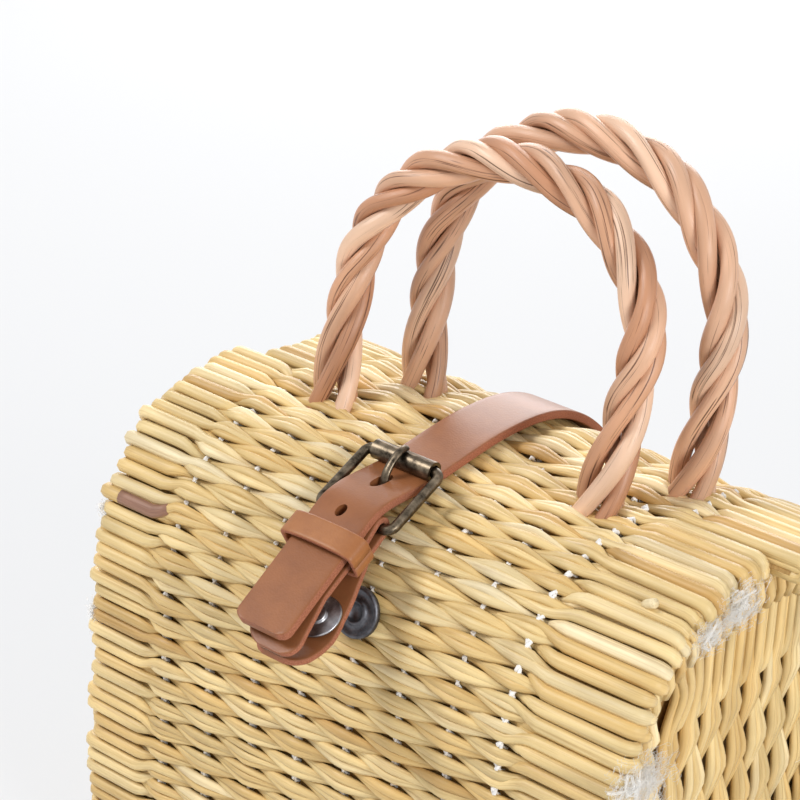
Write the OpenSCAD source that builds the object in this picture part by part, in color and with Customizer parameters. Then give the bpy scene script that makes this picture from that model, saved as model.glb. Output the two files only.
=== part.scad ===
// Woven reed basket bag: one long mat for front, base and back, two inset end panels,
// two twisted willow handles, and a leather strap with a roller buckle and a snap.
// X runs along the reeds, -Y is the front, +Z is up, the origin is the middle of the base.

/* [Basket] */
// Width along the reeds, from loop to loop
basket_w = 227; // [210:1:270]
// Depth of the base, front to back
basket_d = 158; // [150:1:190]
// Height of the basket at its crest, without the handles
basket_h = 189; // [170:1:230]
// Place of the seam between the two flaps, behind the middle of the base
seam_y = -1; // [-3:0.5:4]
// Opening between the two flaps
seam_gap = 1.2; // [0.8:0.1:3]
// Downward slope of the front flap, degrees
front_slope = 5; // [3:1:8]
// Radius of the front shoulder
shoulder_r = 46; // [40:1:52]
// Slope where the shoulder passes into the haunch, degrees
shoulder_angle = 58; // [54:1:64]
// Radius of the haunch below the front shoulder
haunch_r = 78; // [60:1:90]
// Radius of the back shoulder
back_r = 58; // [50:1:62]
// Downward slope of the back flap, degrees
back_slope = 2; // [1:1:5]
// Lean of the front and back walls, degrees
wall_lean = 3; // [2:0.5:4]
// Radius of the mat where it turns under the base
base_r = 18; // [14:1:24]
// Sideways set of the back flap, to the right
back_shift = 12; // [0:1:14]

/* [Weave] */
// Thickness of the mat below the middle of its ridges
mat_t = 7; // [6:0.5:8]
// Half height of the reed ridges
ridge = 1.5; // [1:0.1:1.8]
// Distance between the rows of reed grains
row_pitch = 8.2; // [7:0.1:10]
// Number of warp threads
warp_count = 8; // [6:1:12]
// Width of the woven zone between the first and the last warp
weave_w = 143; // [125:1:160]
// Place of the woven zone right of the middle
weave_x = -5; // [-10:1:10]
// Length over which the last grains run out into straight reeds
run_out = 9; // [6:1:14]
// Depth of the notches between the reed loops at the ends
loop_depth = 2.5; // [1.5:0.1:3]

/* [End panels] */
// Distance of a panel behind the mat's end
panel_inset = 16; // [14:1:20]
// Thickness of a panel
panel_t = 6; // [5:0.5:8]
// Width of a panel reed
panel_reed = 5.5; // [5:0.5:8]
// Depth of the grooves between the panel reeds
panel_groove = 1.2; // [0.6:0.1:1.6]
// Drop of the panel's top edge below the flaps
panel_drop = 7; // [5:0.5:10]
// Height of the folded rim along the panel's top edge
rim_h = 8; // [6:0.5:12]
// Amount that the folded rim stands out on each side
rim_out = 1.2; // [0.8:0.1:2]
// Diameter of the sewing twine
twine_d = 4; // [3:0.5:5]
// Length of a twine stitch
stitch_l = 10; // [8:1:12]
// Distance between the stitches
stitch_pitch = 19; // [17:1:30]

/* [Handles] */
// Half distance between a handle's feet
handle_foot = 55.5; // [48:0.5:60]
// Half width of the handle's arch
handle_half = 58; // [52:0.5:66]
// Height of the straight legs
leg_h = 41; // [30:1:50]
// Height of the front handle's arch above its legs
front_arch_h = 48; // [42:1:56]
// Height of the back handle's arch above its legs
back_arch_h = 57; // [48:1:64]
// Place of the front handle right of the middle
front_handle_x = -2.5; // [-6:0.5:6]
// Place of the back handle right of the middle
back_handle_x = 12.5; // [6:0.5:16]
// Place of the front handle's feet behind the middle of the base
front_handle_y = -9.5; // [-12:0.5:-8.5]
// Place of the back handle's feet behind the middle of the base
back_handle_y = 20; // [17:0.5:28]
// Backward lean of the front handle at its top
front_lean = 27; // [10:1:30]
// Backward lean of the back handle at its top
back_lean = 17; // [10:1:28]
// Diameter of a willow rod
rod_d = 5.9; // [5.4:0.1:6]
// Distance of the rods from the handle's middle line
strand_r = 4.4; // [4.4:0.1:5.4]
// Extra sideways distance of the rods where they spread at the feet
splay = 4; // [0:0.5:6]
// Twist of the rods from foot to foot, degrees
rod_twist = 1080; // [720:90:1080]

/* [Strap] */
// Width of the strap
strap_w = 21.5; // [18:0.5:26]
// Thickness of the strap
strap_t = 3.2; // [2:0.1:3.6]
// Place of the strap right of the middle
strap_x = -4; // [-8:1:4]
// Slope of the strap's front end, degrees
strap_angle = 29; // [26:1:34]
// Length of the strap in front of the buckle's heel bar
strap_tip = 48; // [44:1:56]
// Length of the strap behind the seam
strap_tail = 125; // [115:1:150]
// Height of the arch in which the strap clears the top
strap_lift = 1; // [0:0.5:6]
// Radius of the rounded leather corners
corner_r = 5; // [4:0.5:8]
// Thickness of the buckle tab's leather
tab_t = 2.2; // [1.5:0.1:2.5]
// Length of the buckle tab in front of the heel bar
tab_l = 54; // [52:1:60]
// Thickness of the keeper's leather
keeper_t = 1.8; // [1.4:0.1:2.2]
// Length of the keeper along the strap
keeper_l = 10; // [8:0.5:11]
// Distance of the keeper's middle from where the strap lies flat on the tab
keeper_at = 5.5; // [5.5:0.5:8]
// Length of the strap's punched holes
hole_l = 5; // [4:0.5:6]
// Width of the strap's punched holes
hole_w = 3.5; // [3:0.5:4]
// Distance of the spare hole in front of the heel bar
spare_hole_at = 3; // [3:0.5:4.5]

/* [Buckle and snap] */
// Wire diameter of the buckle frame
wire_d = 3.4; // [2.6:0.1:3.6]
// Room between the strap and the frame on each side
frame_room = 1.3; // [1:0.1:3]
// Length of the frame between its two bars
frame_l = 27; // [25:0.5:30]
// Downward slope of the frame, degrees
frame_angle = 24; // [22:1:27]
// Radius of the frame's corners
frame_corner = 3; // [2.5:0.1:4]
// Outside diameter of the roller
roller_d = 6.6; // [6.4:0.1:8]
// Bore of the roller
roller_bore = 4.4; // [4.2:0.1:4.8]
// Slope of the flap under the roller, degrees
roller_slope = 15; // [12:1:17]
// Width of the tongue
tongue_w = 3.4; // [3:0.1:4]
// Thickness of the tongue
tongue_t = 2.4; // [2:0.1:2.8]
// Diameter of the snap
snap_d = 15.5; // [14:0.5:18]
// Thickness of the half on the basket
snap_t = 3; // [2:0.1:4]
// Distance of the snap's half on the tab from where the strap lies flat on it
snap_at = 35; // [33:0.5:38]
// Slope of the mat under the half on the basket, degrees
snap_slope = 68; // [66:1:74]
// Place of the half on the basket right of the middle
snap_x = 6; // [0:1:9]
// Diameter of the strap's rivet heads
rivet_d = 9; // [7:0.5:11]
// Height of the rivet heads
rivet_h = 2.2; // [1.5:0.1:3]
// Distance of the first rivet from the strap's end
rivet_at = 10; // [8:0.5:14]
// Distance between the two rivets
rivet_pitch = 16; // [13:0.5:20]

/* [Side tab] */
// Width of the leather tab on the right panel
side_tab_w = 6.6; // [5:0.1:10]
// Length of the leather tab
side_tab_l = 30; // [20:1:40]
// Thickness of the leather tab
side_tab_t = 2.4; // [2:0.1:3]
// Height of the tab's upper end above the base
side_tab_z = 78; // [60:1:90]
// Place of the tab in front of the middle of the panel
side_tab_y = 22; // [0:1:30]

/* [Hidden] */
$fn = 48;
// Room between leather, reed and twine pieces that lie on each other
fit = 0.3;
// Running room of the tongue's eye on the heel bar
run_fit = 0.1;
// Rods in a handle
rods = 4;
// Facets round a willow rod
rod_sides = 7;
// Rings along a leg and along the arch of a handle
leg_rings = 6;
arch_rings = 26;
// Straight steps across a panel reed
reed_steps = 4;
// Turn of the rods about the handle's middle line at the top of the arch
rod_turn = 45;
// Straight steps along the strap
strap_step = 6;
// Overlap that keeps a cut clear of a face
cut = 1;
// Height of a cutter that passes through the leather
through = 8*strap_t;
// Amount that a rounded corner's arc runs out past the leather's edges, to cross them at an angle
arc_run_out = 0.15;
// Share of the height over which the back flap's sideways set builds up
shift_rise = 0.45;
// Slope of the mat where a panel's top edge leaves it, and the slope at which it has dropped clear
drop_end = 75;
drop_full = 50;
// Slope of the mat at the topmost stitch
seam_slope = 78;
// Middle and length of the slot for the tongue, as shares of the frame's length
slot_middle = 0.355;
slot_share = 0.54;
// Length of the tongue beyond the middle of the roller
tongue_over = 2.6;
// Slope of the back shoulder where the strap meets the mat again
lift_end = 45;
// Diameters of the snap's socket and stud, and thickness of the tab half's cap
socket_d = snap_d*0.45;
stud_d = snap_d*0.4;
cap_t = snap_t/3;
stud_l = snap_t*0.7;
// Diameter of the rivets' shanks
shank_d = rivet_d/3;

reed_colour = "#d9bf86";
twine_colour = "#eeeae2";
willow_colour = "#d2a17f";
leather_colour = "#ad7a58";
metal_colour = "#7d7266";

// Headings turn from 0 on the front flap, through 90 on the front wall and 180 under the base, to 360
front_down = 90 - wall_lean;
back_up = 270 + wall_lean;
back_end = 360 - back_slope;

front_reach = basket_d/2 + seam_y - shoulder_r*(sin(shoulder_angle) - sin(front_slope))
    - haunch_r*(sin(front_down) - sin(shoulder_angle)) - base_r*(1 - sin(front_down));
front_fall = basket_h - shoulder_r*(cos(front_slope) - cos(shoulder_angle))
    - haunch_r*(cos(shoulder_angle) - cos(front_down)) - base_r*(1 + cos(front_down));
front_flat = (front_reach*sin(front_down) - front_fall*cos(front_down))/sin(front_down - front_slope);
front_wall = (front_fall*cos(front_slope) - front_reach*sin(front_slope))/sin(front_down - front_slope);

back_reach = basket_d/2 - seam_y - seam_gap - base_r*(1 - cos(wall_lean))
    - back_r*(cos(wall_lean) - sin(back_slope));
back_rise = basket_h - base_r*(1 + sin(wall_lean)) - back_r*(cos(back_slope) - sin(wall_lean));
back_flat = (back_reach*cos(wall_lean) - back_rise*sin(wall_lean))/cos(back_slope + wall_lean);
back_wall = (back_rise*cos(back_slope) - back_reach*sin(back_slope))/cos(back_slope + wall_lean);

// A stretch is [radius or 0 for straight, first heading, last heading, length]
function bend(r, a, b) = [r, a, b, r*(b - a)*PI/180];
function straight(l, a) = [0, a, a, l];
front_run = [straight(front_flat, front_slope), bend(shoulder_r, front_slope, shoulder_angle),
    bend(haunch_r, shoulder_angle, front_down), straight(front_wall, front_down), bend(base_r, front_down, 180)];
back_run = [bend(base_r, 180, back_up), straight(back_wall, back_up), bend(back_r, back_up, back_end),
    straight(back_flat, back_end)];
front_start = [seam_y, basket_h];
back_start = [basket_d/2 - base_r, 0];

function total(run, i = 0) = i == len(run) ? 0 : run[i][3] + total(run, i + 1);
function heading(g, l) = g[0] == 0 ? g[1] : g[1] + l/g[0]*180/PI;
function reach(g, l) = g[0] == 0 ? [-l*cos(g[1]), -l*sin(g[1])]
    : [g[0]*(sin(g[1]) - sin(heading(g, l))), g[0]*(cos(heading(g, l)) - cos(g[1]))];
// Point and heading [y, z, a] at a length along a run
function along(run, l, p, i = 0) = l <= run[i][3] || i == len(run) - 1
    ? concat(p + reach(run[i], l), heading(run[i], l))
    : along(run, l - run[i][3], p + reach(run[i], run[i][3]), i + 1);
function front_at(l) = along(front_run, l, front_start);
function back_at(l) = along(back_run, l, back_start);
function outward(a) = [-sin(a), cos(a)];
// Point at a distance outside the mat's middle ridge line
function off(q, d) = [q[0], q[1]] + d*outward(q[2]);
// Length along the front run at which the shoulder or haunch has a slope
function front_length(a) = front_flat + (a <= shoulder_angle ? shoulder_r*(a - front_slope)*PI/180
    : front_run[1][3] + haunch_r*(a - shoulder_angle)*PI/180);
// Length along the back run at which the back shoulder has a slope
function back_length(a) = back_run[0][3] + back_wall + back_r*(360 - a - back_up)*PI/180;
front_len = total(front_run);
back_len = total(back_run);

// Half rows of reed grains along the two runs
front_rows = 2*round(front_len/row_pitch);
back_rows = 2*round(back_len/row_pitch);
outline = concat([for (k = [0:front_rows]) front_at(front_len*k/front_rows)],
    [for (k = [0:back_rows]) back_at(back_len*k/back_rows)]);
row_count = len(outline);
base_row = front_rows;
// Ridges die out towards the flat underside, and at the two lips
function fade(k) = k == 0 || k == row_count - 1 ? 0 : min(1, abs(outline[k][2] - 180)/90);
function ease(t) = let (c = max(0, min(1, t))) c*c*(3 - 2*c);
// Sideways set of a point on the mat: none on the front and base, full on the back flap
function set_over(q) = q[2] < 180 ? 0 : back_shift*ease((q[1] - basket_h/2)/(basket_h*shift_rise));

warps = [for (i = [0:warp_count - 1]) weave_x + weave_w*(i/(warp_count - 1) - 0.5)];
columns = concat([-basket_w/2, warps[0] - run_out], warps, [warps[warp_count - 1] + run_out, basket_w/2]);
last_col = len(columns) - 1;
// A grain is on top where row and warp numbers add up to an even number, and runs on into the margins
function high(c, k) = (k + max(2, min(last_col - 2, c))) % 2 == 0;

function outer_point(c, k) = let (q = outline[k], h = (high(c, k) ? ridge : -ridge)*fade(k), p = off(q, h),
    notch = (c == 0 || c == last_col) && !high(c, k) ? loop_depth : 0)
    [columns[c] - sign(columns[c])*notch + set_over(q), p[0], p[1]];
function inner_point(side, k) = let (q = outline[k], p = off(q, -mat_t))
    [side*(basket_w/2 - loop_depth) + set_over(q), p[0], p[1]];

module mat_strip() {
    wide = last_col + 1;
    function o(c, k) = k*wide + c;
    function n(s, k) = row_count*wide + 2*k + s;
    points = concat([for (k = [0:row_count - 1]) for (c = [0:last_col]) outer_point(c, k)],
        [for (k = [0:row_count - 1]) for (s = [-1, 1]) inner_point(s, k)]);
    grains = [for (k = [0:row_count - 2]) if (k != base_row) for (c = [0:last_col - 1])
        each high(c, k)
            ? [[o(c, k), o(c + 1, k), o(c, k + 1)], [o(c + 1, k), o(c + 1, k + 1), o(c, k + 1)]]
            : [[o(c, k), o(c + 1, k), o(c + 1, k + 1)], [o(c, k), o(c + 1, k + 1), o(c, k + 1)]]];
    underside = [for (c = [0:last_col - 1])
        [o(c, base_row), o(c + 1, base_row), o(c + 1, base_row + 1), o(c, base_row + 1)]];
    inside = [for (k = [0:row_count - 2]) [n(0, k), n(0, k + 1), n(1, k + 1), n(1, k)]];
    left_end = [for (k = [0:row_count - 2]) [o(0, k), o(0, k + 1), n(0, k + 1), n(0, k)]];
    right_end = [for (k = [0:row_count - 2])
        [o(last_col, k + 1), o(last_col, k), n(1, k), n(1, k + 1)]];
    end = row_count - 1;
    front_lip = concat([for (c = [0:last_col - 1]) [o(c + 1, 0), o(c, 0), n(0, 0)]],
        [[o(last_col, 0), n(0, 0), n(1, 0)]]);
    back_lip = concat([for (c = [0:last_col - 1]) [o(c, end), o(c + 1, end), n(0, end)]],
        [[o(last_col, end), n(1, end), n(0, end)]]);
    polyhedron(points, concat(grains, underside, inside, left_end, right_end, front_lip, back_lip));
}

module body_mat() {
    color(reed_colour) mat_strip();
}

// Stands a 2D shape drawn in Y and Z up across X, w wide about x
module across(x, w) {
    translate([x - w/2, 0, 0]) rotate([90, 0, 90]) linear_extrude(w) children();
}

panel_x = basket_w/2 - panel_inset - panel_t/2;
// The panel lies against the walls and the base, and its top edge drops below the flaps
function slope(q) = min(q[2], 360 - q[2]);
function panel_gap(q) = mat_t + fit + panel_drop*(1 - ease((slope(q) - drop_full)/(drop_end - drop_full)));
function panel_side(rows, extra) = [for (k = rows) off(outline[k], -panel_gap(outline[k]) - extra)];
panel_rows = [for (k = [0:2:row_count - 1]) k];
rim_rows = [for (k = panel_rows) if (slope(outline[k]) < drop_end) k];

module panel_reeds() {
    count = 2*ceil(basket_d/panel_reed/2);
    steps = count*reed_steps;
    function face(i) = panel_t/2 - panel_groove*pow(2*((i % reed_steps)/reed_steps) - 1, 2);
    function place(i) = (i/steps - 0.5)*count*panel_reed;
    linear_extrude(basket_h) polygon(concat([for (i = [0:steps]) [face(i), place(i)]],
        [for (i = [steps:-1:0]) [-face(i), place(i)]]));
}

module panel_rim() {
    front = [for (k = rim_rows) if (k <= base_row) k];
    back = [for (k = rim_rows) if (k > base_row) k];
    order = concat([for (i = [len(front) - 1:-1:0]) front[i]], [for (i = [len(back) - 1:-1:0]) back[i]]);
    under = [for (i = [len(order) - 1:-1:0]) order[i]];
    polygon(concat(panel_side(order, 0), panel_side(under, rim_h)));
}

module side_panel(side) {
    color(reed_colour) {
        intersection() {
            translate([side*panel_x, 0, 0]) panel_reeds();
            across(side*panel_x, panel_t) polygon(panel_side(panel_rows, 0));
        }
        across(side*panel_x, panel_t + 2*rim_out) panel_rim();
    }
}

// A stitch lies in the corner between a panel's outer face and the mat
module stitch(side, q) {
    p = off(q, -mat_t - fit - twine_d/2);
    translate([side*(panel_x + panel_t/2 + fit + twine_d/2), p[0], p[1]]) rotate([q[2], 0, 0]) {
        rotate([90, 0, 0]) cylinder(d = twine_d, h = stitch_l - twine_d, center = true);
        for (end = [-1, 1]) translate([0, end*(stitch_l - twine_d)/2, 0]) sphere(d = twine_d);
    }
}

// Stitches keep to the walls, where a panel lies flat against the mat
module seam_twine(side) {
    color(twine_colour) {
        for (l = [front_length(seam_slope):stitch_pitch:front_len - front_run[4][3] - stitch_l/2])
            stitch(side, front_at(l));
        for (l = [back_run[0][3] + stitch_l/2:stitch_pitch:back_length(seam_slope)]) stitch(side, back_at(l));
    }
}

// Middle line of a handle in its own plane, from the left foot to the right one: [x, z]
function leg_point(t) = [-handle_foot - (handle_half - handle_foot)*sin(90*t), leg_h*t];
function arch_point(t, arch) = [-handle_half*cos(180*t), leg_h + arch*sin(180*t)];
function handle_line(arch) = concat([for (i = [0:leg_rings - 1]) leg_point(i/leg_rings)],
    [for (i = [0:arch_rings]) arch_point(i/arch_rings, arch)],
    [for (i = [leg_rings - 1:-1:0]) [-leg_point(i/leg_rings)[0], leg_point(i/leg_rings)[1]]]);
handle_last = 2*leg_rings + arch_rings;

function unit(v) = v/norm(v);
function line_tangent(p, j) = unit(p[min(j + 1, len(p) - 1)] - p[max(j - 1, 0)]);
function foot_spread(j) = splay*pow(max(0, 1 - min(j, handle_last - j)/leg_rings), 2);
// Centre of a rod's ring, and points round it, before the handle leans
function rod_centre(line, i, j) = let (t = line_tangent(line, j), r = strand_r + foot_spread(j),
    a = 360*i/rods + rod_turn - rod_twist*(j/handle_last - 0.5))
    [line[j][0] - t[1]*r*cos(a), strand_r*sin(a), line[j][1] + t[0]*r*cos(a)];
function rod_ring(line, i, j) = let (t = line_tangent(line, j), c = rod_centre(line, i, j))
    [for (s = [0:rod_sides - 1]) let (b = 360*s/rod_sides)
        c + rod_d/2*[-t[1]*cos(b), sin(b), t[0]*cos(b)]];

// Height of the mat's middle ridge line at a place on the flaps
back_bend = [seam_y + seam_gap + back_flat*cos(back_slope), basket_h - back_flat*sin(back_slope)]
    - back_r*outward(back_end);
function flap_z(y) = y < seam_y ? basket_h - (seam_y - y)*tan(front_slope)
    : y < seam_y + seam_gap + back_flat ? basket_h - (y - seam_y)*tan(back_slope)
    : back_bend[1] + sqrt(back_r*back_r - pow(y - back_bend[0], 2));
// Height at which a rod ends on the ridges
function foot_z(y) = max(flap_z(y - rod_d/2), flap_z(y + rod_d/2)) + ridge + fit;

module willow_rod(i, x, y, arch, lean) {
    line = handle_line(arch);
    points = [for (j = [0:handle_last]) each [for (p = rod_ring(line, i, j))
        [x + p[0], y + p[1] + lean*p[2]/(leg_h + arch),
         j == 0 || j == handle_last ? foot_z(y + rod_centre(line, i, j)[1]) : basket_h + ridge + fit + p[2]]]];
    function v(j, s) = j*rod_sides + s % rod_sides;
    walls = [for (j = [0:handle_last - 1]) for (s = [0:rod_sides - 1])
        each [[v(j, s), v(j + 1, s + 1), v(j + 1, s)], [v(j, s), v(j, s + 1), v(j + 1, s + 1)]]];
    color(willow_colour) polyhedron(points, concat(walls,
        [[for (s = [rod_sides - 1:-1:0]) v(0, s)]], [[for (s = [0:rod_sides - 1]) v(handle_last, s)]]));
}

// Layers of the strap's front end, counted from the plane that its keeper would rest on
tab_under = ridge + 2*fit + keeper_t;
tab_middle = tab_under + tab_t + fit/2;
tab_top = tab_under + 2*tab_t + fit;
loop_r = wire_d/2 + fit + tab_t;
// Where the strap lies flat on the tab, in front of the heel bar
flat_from = 2*loop_r;
strap_over_loop = tab_middle + loop_r + fit + strap_t/2;
strap_over_tab = tab_top + fit + strap_t/2;
strap_on_mat = ridge + fit + strap_t/2;
// The roller holds the strap down on the flap, and the frame reaches forward from it to the heel bar
roller_length = front_length(roller_slope);
roller_axis = off(front_at(roller_length), strap_on_mat + strap_t/2 + fit + roller_d/2);
heel = roller_axis - frame_l*[cos(frame_angle), sin(frame_angle)];
under_heel = heel - tab_middle*outward(strap_angle);
// Point in Y and Z, u in front of the heel bar and n above the plane under the strap's end
function strap_point(u, n) = under_heel - u*[cos(strap_angle), sin(strap_angle)] + n*outward(strap_angle);
// Frame of the strap's front end: x across, -y towards the tip, z away from the mat
module on_strap(u, n) {
    p = strap_point(u, n);
    translate([strap_x, p[0], p[1]]) rotate([strap_angle, 0, 0]) children();
}

// Frame of the buckle: x across, y from the heel bar to the roller
module on_buckle() {
    translate([strap_x, heel[0], heel[1]]) rotate([frame_angle, 0, 0]) children();
}

// Outline of a band of thickness t along a line of points
function line_normal(p, j) = let (d = line_tangent(p, j)) [d[1], -d[0]];
function band(p, t) = concat([for (j = [0:len(p) - 1]) p[j] + t/2*line_normal(p, j)],
    [for (j = [len(p) - 1:-1:0]) p[j] - t/2*line_normal(p, j)]);

tail_steps = ceil(strap_tail/strap_step);
head_steps = ceil(roller_length/strap_step);
// The strap arches clear of the top, from the roller to the back shoulder
lift_span = roller_length + back_len - back_length(lift_end);
function strap_height(from_roller) = strap_on_mat + strap_lift*pow(sin(180*min(1, from_roller/lift_span)), 2);
function strap_behind(l) = off(back_at(back_len - l), strap_height(roller_length + l));
function strap_before(l) = off(front_at(l), strap_height(roller_length - l));
strap_line = concat([for (i = [0:tail_steps - 1]) strap_behind(strap_tail*(1 - i/tail_steps))],
    [for (i = [0:head_steps]) strap_before(roller_length*i/head_steps)],
    [strap_point(-loop_r, strap_over_loop - strap_t/2), strap_point(0, strap_over_loop),
     strap_point(flat_from, strap_over_tab), strap_point(strap_tip, strap_over_tab)]);

// Rounds both corners of a strap-wide strip end that lies at y = 0 and runs to +y
module corner_cuts() {
    inset = corner_r - arc_run_out;
    for (side = [-1, 1]) translate([side*(strap_w/2 - inset), inset, 0]) difference() {
        translate([side*corner_r, -corner_r, 0]) cube([2*corner_r, 2*corner_r, through], center = true);
        cylinder(r = corner_r, h = through + cut, center = true);
    }
}

module oval(l, w) {
    square([w, l - w], center = true);
    for (end = [-1, 1]) translate([0, end*(l - w)/2]) circle(d = w);
}

module on_tail(from_end) {
    q = back_at(back_len - strap_tail + from_end);
    p = off(q, strap_on_mat);
    translate([strap_x, p[0], p[1]]) rotate([q[2], 0, 0]) rotate([0, 0, 180]) children();
}

// The tongue comes up through the strap close to the heel bar, and out of a notch in the tab's fold
slot_w = tongue_w + 4*fit;
module strap() {
    color(leather_colour) difference() {
        across(strap_x, strap_w) polygon(band(strap_line, strap_t));
        on_strap(strap_tip, strap_over_tab) corner_cuts();
        on_tail(0) corner_cuts();
        on_strap(spare_hole_at, strap_over_tab)
            linear_extrude(through, center = true) oval(hole_l, hole_w);
        on_buckle() translate([0, frame_l*slot_middle, 0])
            linear_extrude(through, center = true) oval(frame_l*slot_share, slot_w);
        for (i = [0, 1]) on_tail(rivet_at + i*rivet_pitch)
            cylinder(d = shank_d + 2*run_fit, h = through, center = true);
    }
}

module strap_rivets() {
    dome_r = rivet_d*rivet_d/(8*rivet_h) + rivet_h/2;
    color(metal_colour) for (i = [0, 1]) on_tail(rivet_at + i*rivet_pitch) {
        translate([0, 0, strap_t/2]) rotate_extrude() intersection() {
            translate([0, rivet_h - dome_r]) circle(r = dome_r);
            square([rivet_d/2, rivet_h]);
        }
        translate([0, 0, -strap_t/2]) cylinder(d = shank_d, h = strap_t + rivet_h/4);
    }
}

module buckle_tab() {
    color(leather_colour) difference() {
        union() {
            on_strap(0, tab_middle) rotate([0, 90, 0]) cylinder(r = loop_r, h = strap_w, center = true);
            on_strap(tab_l/2, tab_under + tab_t/2) cube([strap_w, tab_l, tab_t], center = true);
            on_strap(tab_l/2, tab_top - tab_t/2) cube([strap_w, tab_l, tab_t], center = true);
        }
        on_strap(0, tab_middle) rotate([0, 90, 0]) cylinder(r = wire_d/2 + fit, h = strap_w + cut, center = true);
        on_strap((loop_r + cut)/2, tab_middle) cube([strap_w + cut, loop_r + cut, fit], center = true);
        on_strap(tab_l, tab_middle) corner_cuts();
        on_strap(0, tab_middle) cube([slot_w, 2*flat_from, through], center = true);
    }
}

// Straight length of the frame's two bars across the strap
bar = strap_w + 2*frame_room;
frame_half = bar/2 + frame_corner;
module buckle_frame() {
    color(metal_colour) on_buckle() {
        for (y = [0, frame_l]) translate([0, y, 0]) rotate([0, 90, 0]) cylinder(d = wire_d, h = bar, center = true);
        for (side = [-1, 1]) translate([side*frame_half, frame_l/2, 0]) rotate([90, 0, 0])
            cylinder(d = wire_d, h = frame_l - 2*frame_corner, center = true);
        for (side = [0, 1], end = [0, 1]) mirror([side, 0, 0]) translate([bar/2, frame_l/2, 0]) mirror([0, end, 0])
            translate([0, frame_l/2 - frame_corner, 0]) rotate_extrude(angle = 90)
                translate([frame_corner, 0]) circle(d = wire_d);
    }
}

module buckle_roller() {
    color(metal_colour) on_buckle() translate([0, frame_l, 0]) rotate([0, 90, 0]) difference() {
        cylinder(d = roller_d, h = bar, center = true);
        cylinder(d = roller_bore, h = bar + cut, center = true);
    }
}

eye_r = wire_d/2 + run_fit;
tongue_rest = roller_d/2 + fit + tongue_t/2;
tongue_rise = tongue_rest/frame_l;
tongue_line = [[eye_r, eye_r*tongue_rise], [frame_l + tongue_over, (frame_l + tongue_over)*tongue_rise]];
module buckle_tongue() {
    color(metal_colour) on_buckle() difference() {
        union() {
            rotate([0, 90, 0]) cylinder(r = eye_r + tongue_t/2 + run_fit, h = tongue_w, center = true);
            across(0, tongue_w) polygon(band(tongue_line, tongue_t));
        }
        rotate([0, 90, 0]) cylinder(r = eye_r, h = tongue_w + cut, center = true);
    }
}

module rounded_box(w, h, r) {
    square([w - 2*r, h], center = true);
    square([w, h - 2*r], center = true);
    for (x = [-1, 1], y = [-1, 1]) translate([x*(w/2 - r), y*(h/2 - r)]) circle(r = r);
}

module keeper_loop() {
    inner_w = strap_w + 2*fit;
    inner_h = strap_over_tab + strap_t/2 - tab_under + 2*fit;
    color(leather_colour) on_strap(keeper_at + flat_from, tab_under - fit + inner_h/2)
        rotate([90, 0, 0]) linear_extrude(keeper_l, center = true) difference() {
            rounded_box(inner_w + 2*keeper_t, inner_h + 2*keeper_t, keeper_t);
            square([inner_w, inner_h], center = true);
        }
}

// Cap under the tab with the stud below it
module tab_snap() {
    color(metal_colour) on_strap(snap_at + flat_from, tab_under - run_fit) rotate([180, 0, 0]) {
        cylinder(d = snap_d, h = cap_t);
        cylinder(d = stud_d, h = stud_l);
    }
}

// Disc on the mat with a socket for the stud
module basket_snap() {
    q = front_at(front_length(snap_slope));
    p = off(q, ridge + fit);
    color(metal_colour) translate([snap_x, p[0], p[1]]) rotate([q[2], 0, 0]) difference() {
        cylinder(d = snap_d, h = snap_t);
        translate([0, 0, snap_t/2]) cylinder(d = socket_d, h = snap_t);
    }
}

module side_tab() {
    color(leather_colour) translate([panel_x + panel_t/2 + fit, -side_tab_y, side_tab_z - side_tab_l/2])
        rotate([90, 0, 90]) linear_extrude(side_tab_t) oval(side_tab_l, side_tab_w);
}

body_mat();
side_panel(-1);  // left_side_panel
side_panel(1);  // right_side_panel
seam_twine(-1);  // left_seam_twine
seam_twine(1);  // right_seam_twine
for (i = [1:rods]) {
    willow_rod(i, front_handle_x, front_handle_y, front_arch_h, front_lean);
    willow_rod(i, back_handle_x, back_handle_y, back_arch_h, back_lean);
}
strap();
strap_rivets();
buckle_tab();
buckle_frame();
buckle_roller();
buckle_tongue();
keeper_loop();
tab_snap();
basket_snap();
side_tab();
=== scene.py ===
# %% [markdown]
# # A woven basket bag
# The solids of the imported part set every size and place. This lesson dresses them: each reed of the weave
# is laid over and under its cotton warps, and the willow, leather, metal and twine get their own surfaces.

import math

import bpy
import numpy as np
from mathutils import Matrix, Vector


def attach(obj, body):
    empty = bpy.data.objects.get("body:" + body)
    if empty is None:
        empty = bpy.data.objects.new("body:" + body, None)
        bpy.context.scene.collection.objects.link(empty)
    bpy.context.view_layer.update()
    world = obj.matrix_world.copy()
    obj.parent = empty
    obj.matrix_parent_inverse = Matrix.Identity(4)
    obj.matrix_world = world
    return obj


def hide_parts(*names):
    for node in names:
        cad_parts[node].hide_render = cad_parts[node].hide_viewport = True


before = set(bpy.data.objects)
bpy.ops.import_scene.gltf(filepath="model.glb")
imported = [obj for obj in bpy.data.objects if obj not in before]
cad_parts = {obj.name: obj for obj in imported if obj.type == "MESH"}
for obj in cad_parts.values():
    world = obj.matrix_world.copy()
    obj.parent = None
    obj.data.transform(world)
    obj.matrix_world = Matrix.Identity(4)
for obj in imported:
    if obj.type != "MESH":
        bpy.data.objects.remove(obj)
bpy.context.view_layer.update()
MM = 0.001
rng = np.random.default_rng(7)

# %% [markdown]
# ## Sizes of the bag, in millimetres
# These repeat the sizes of the part's source, so that the reeds follow the same rounded profile. They could
# be measured from the solids each time, but written down they can be read and compared.

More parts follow.
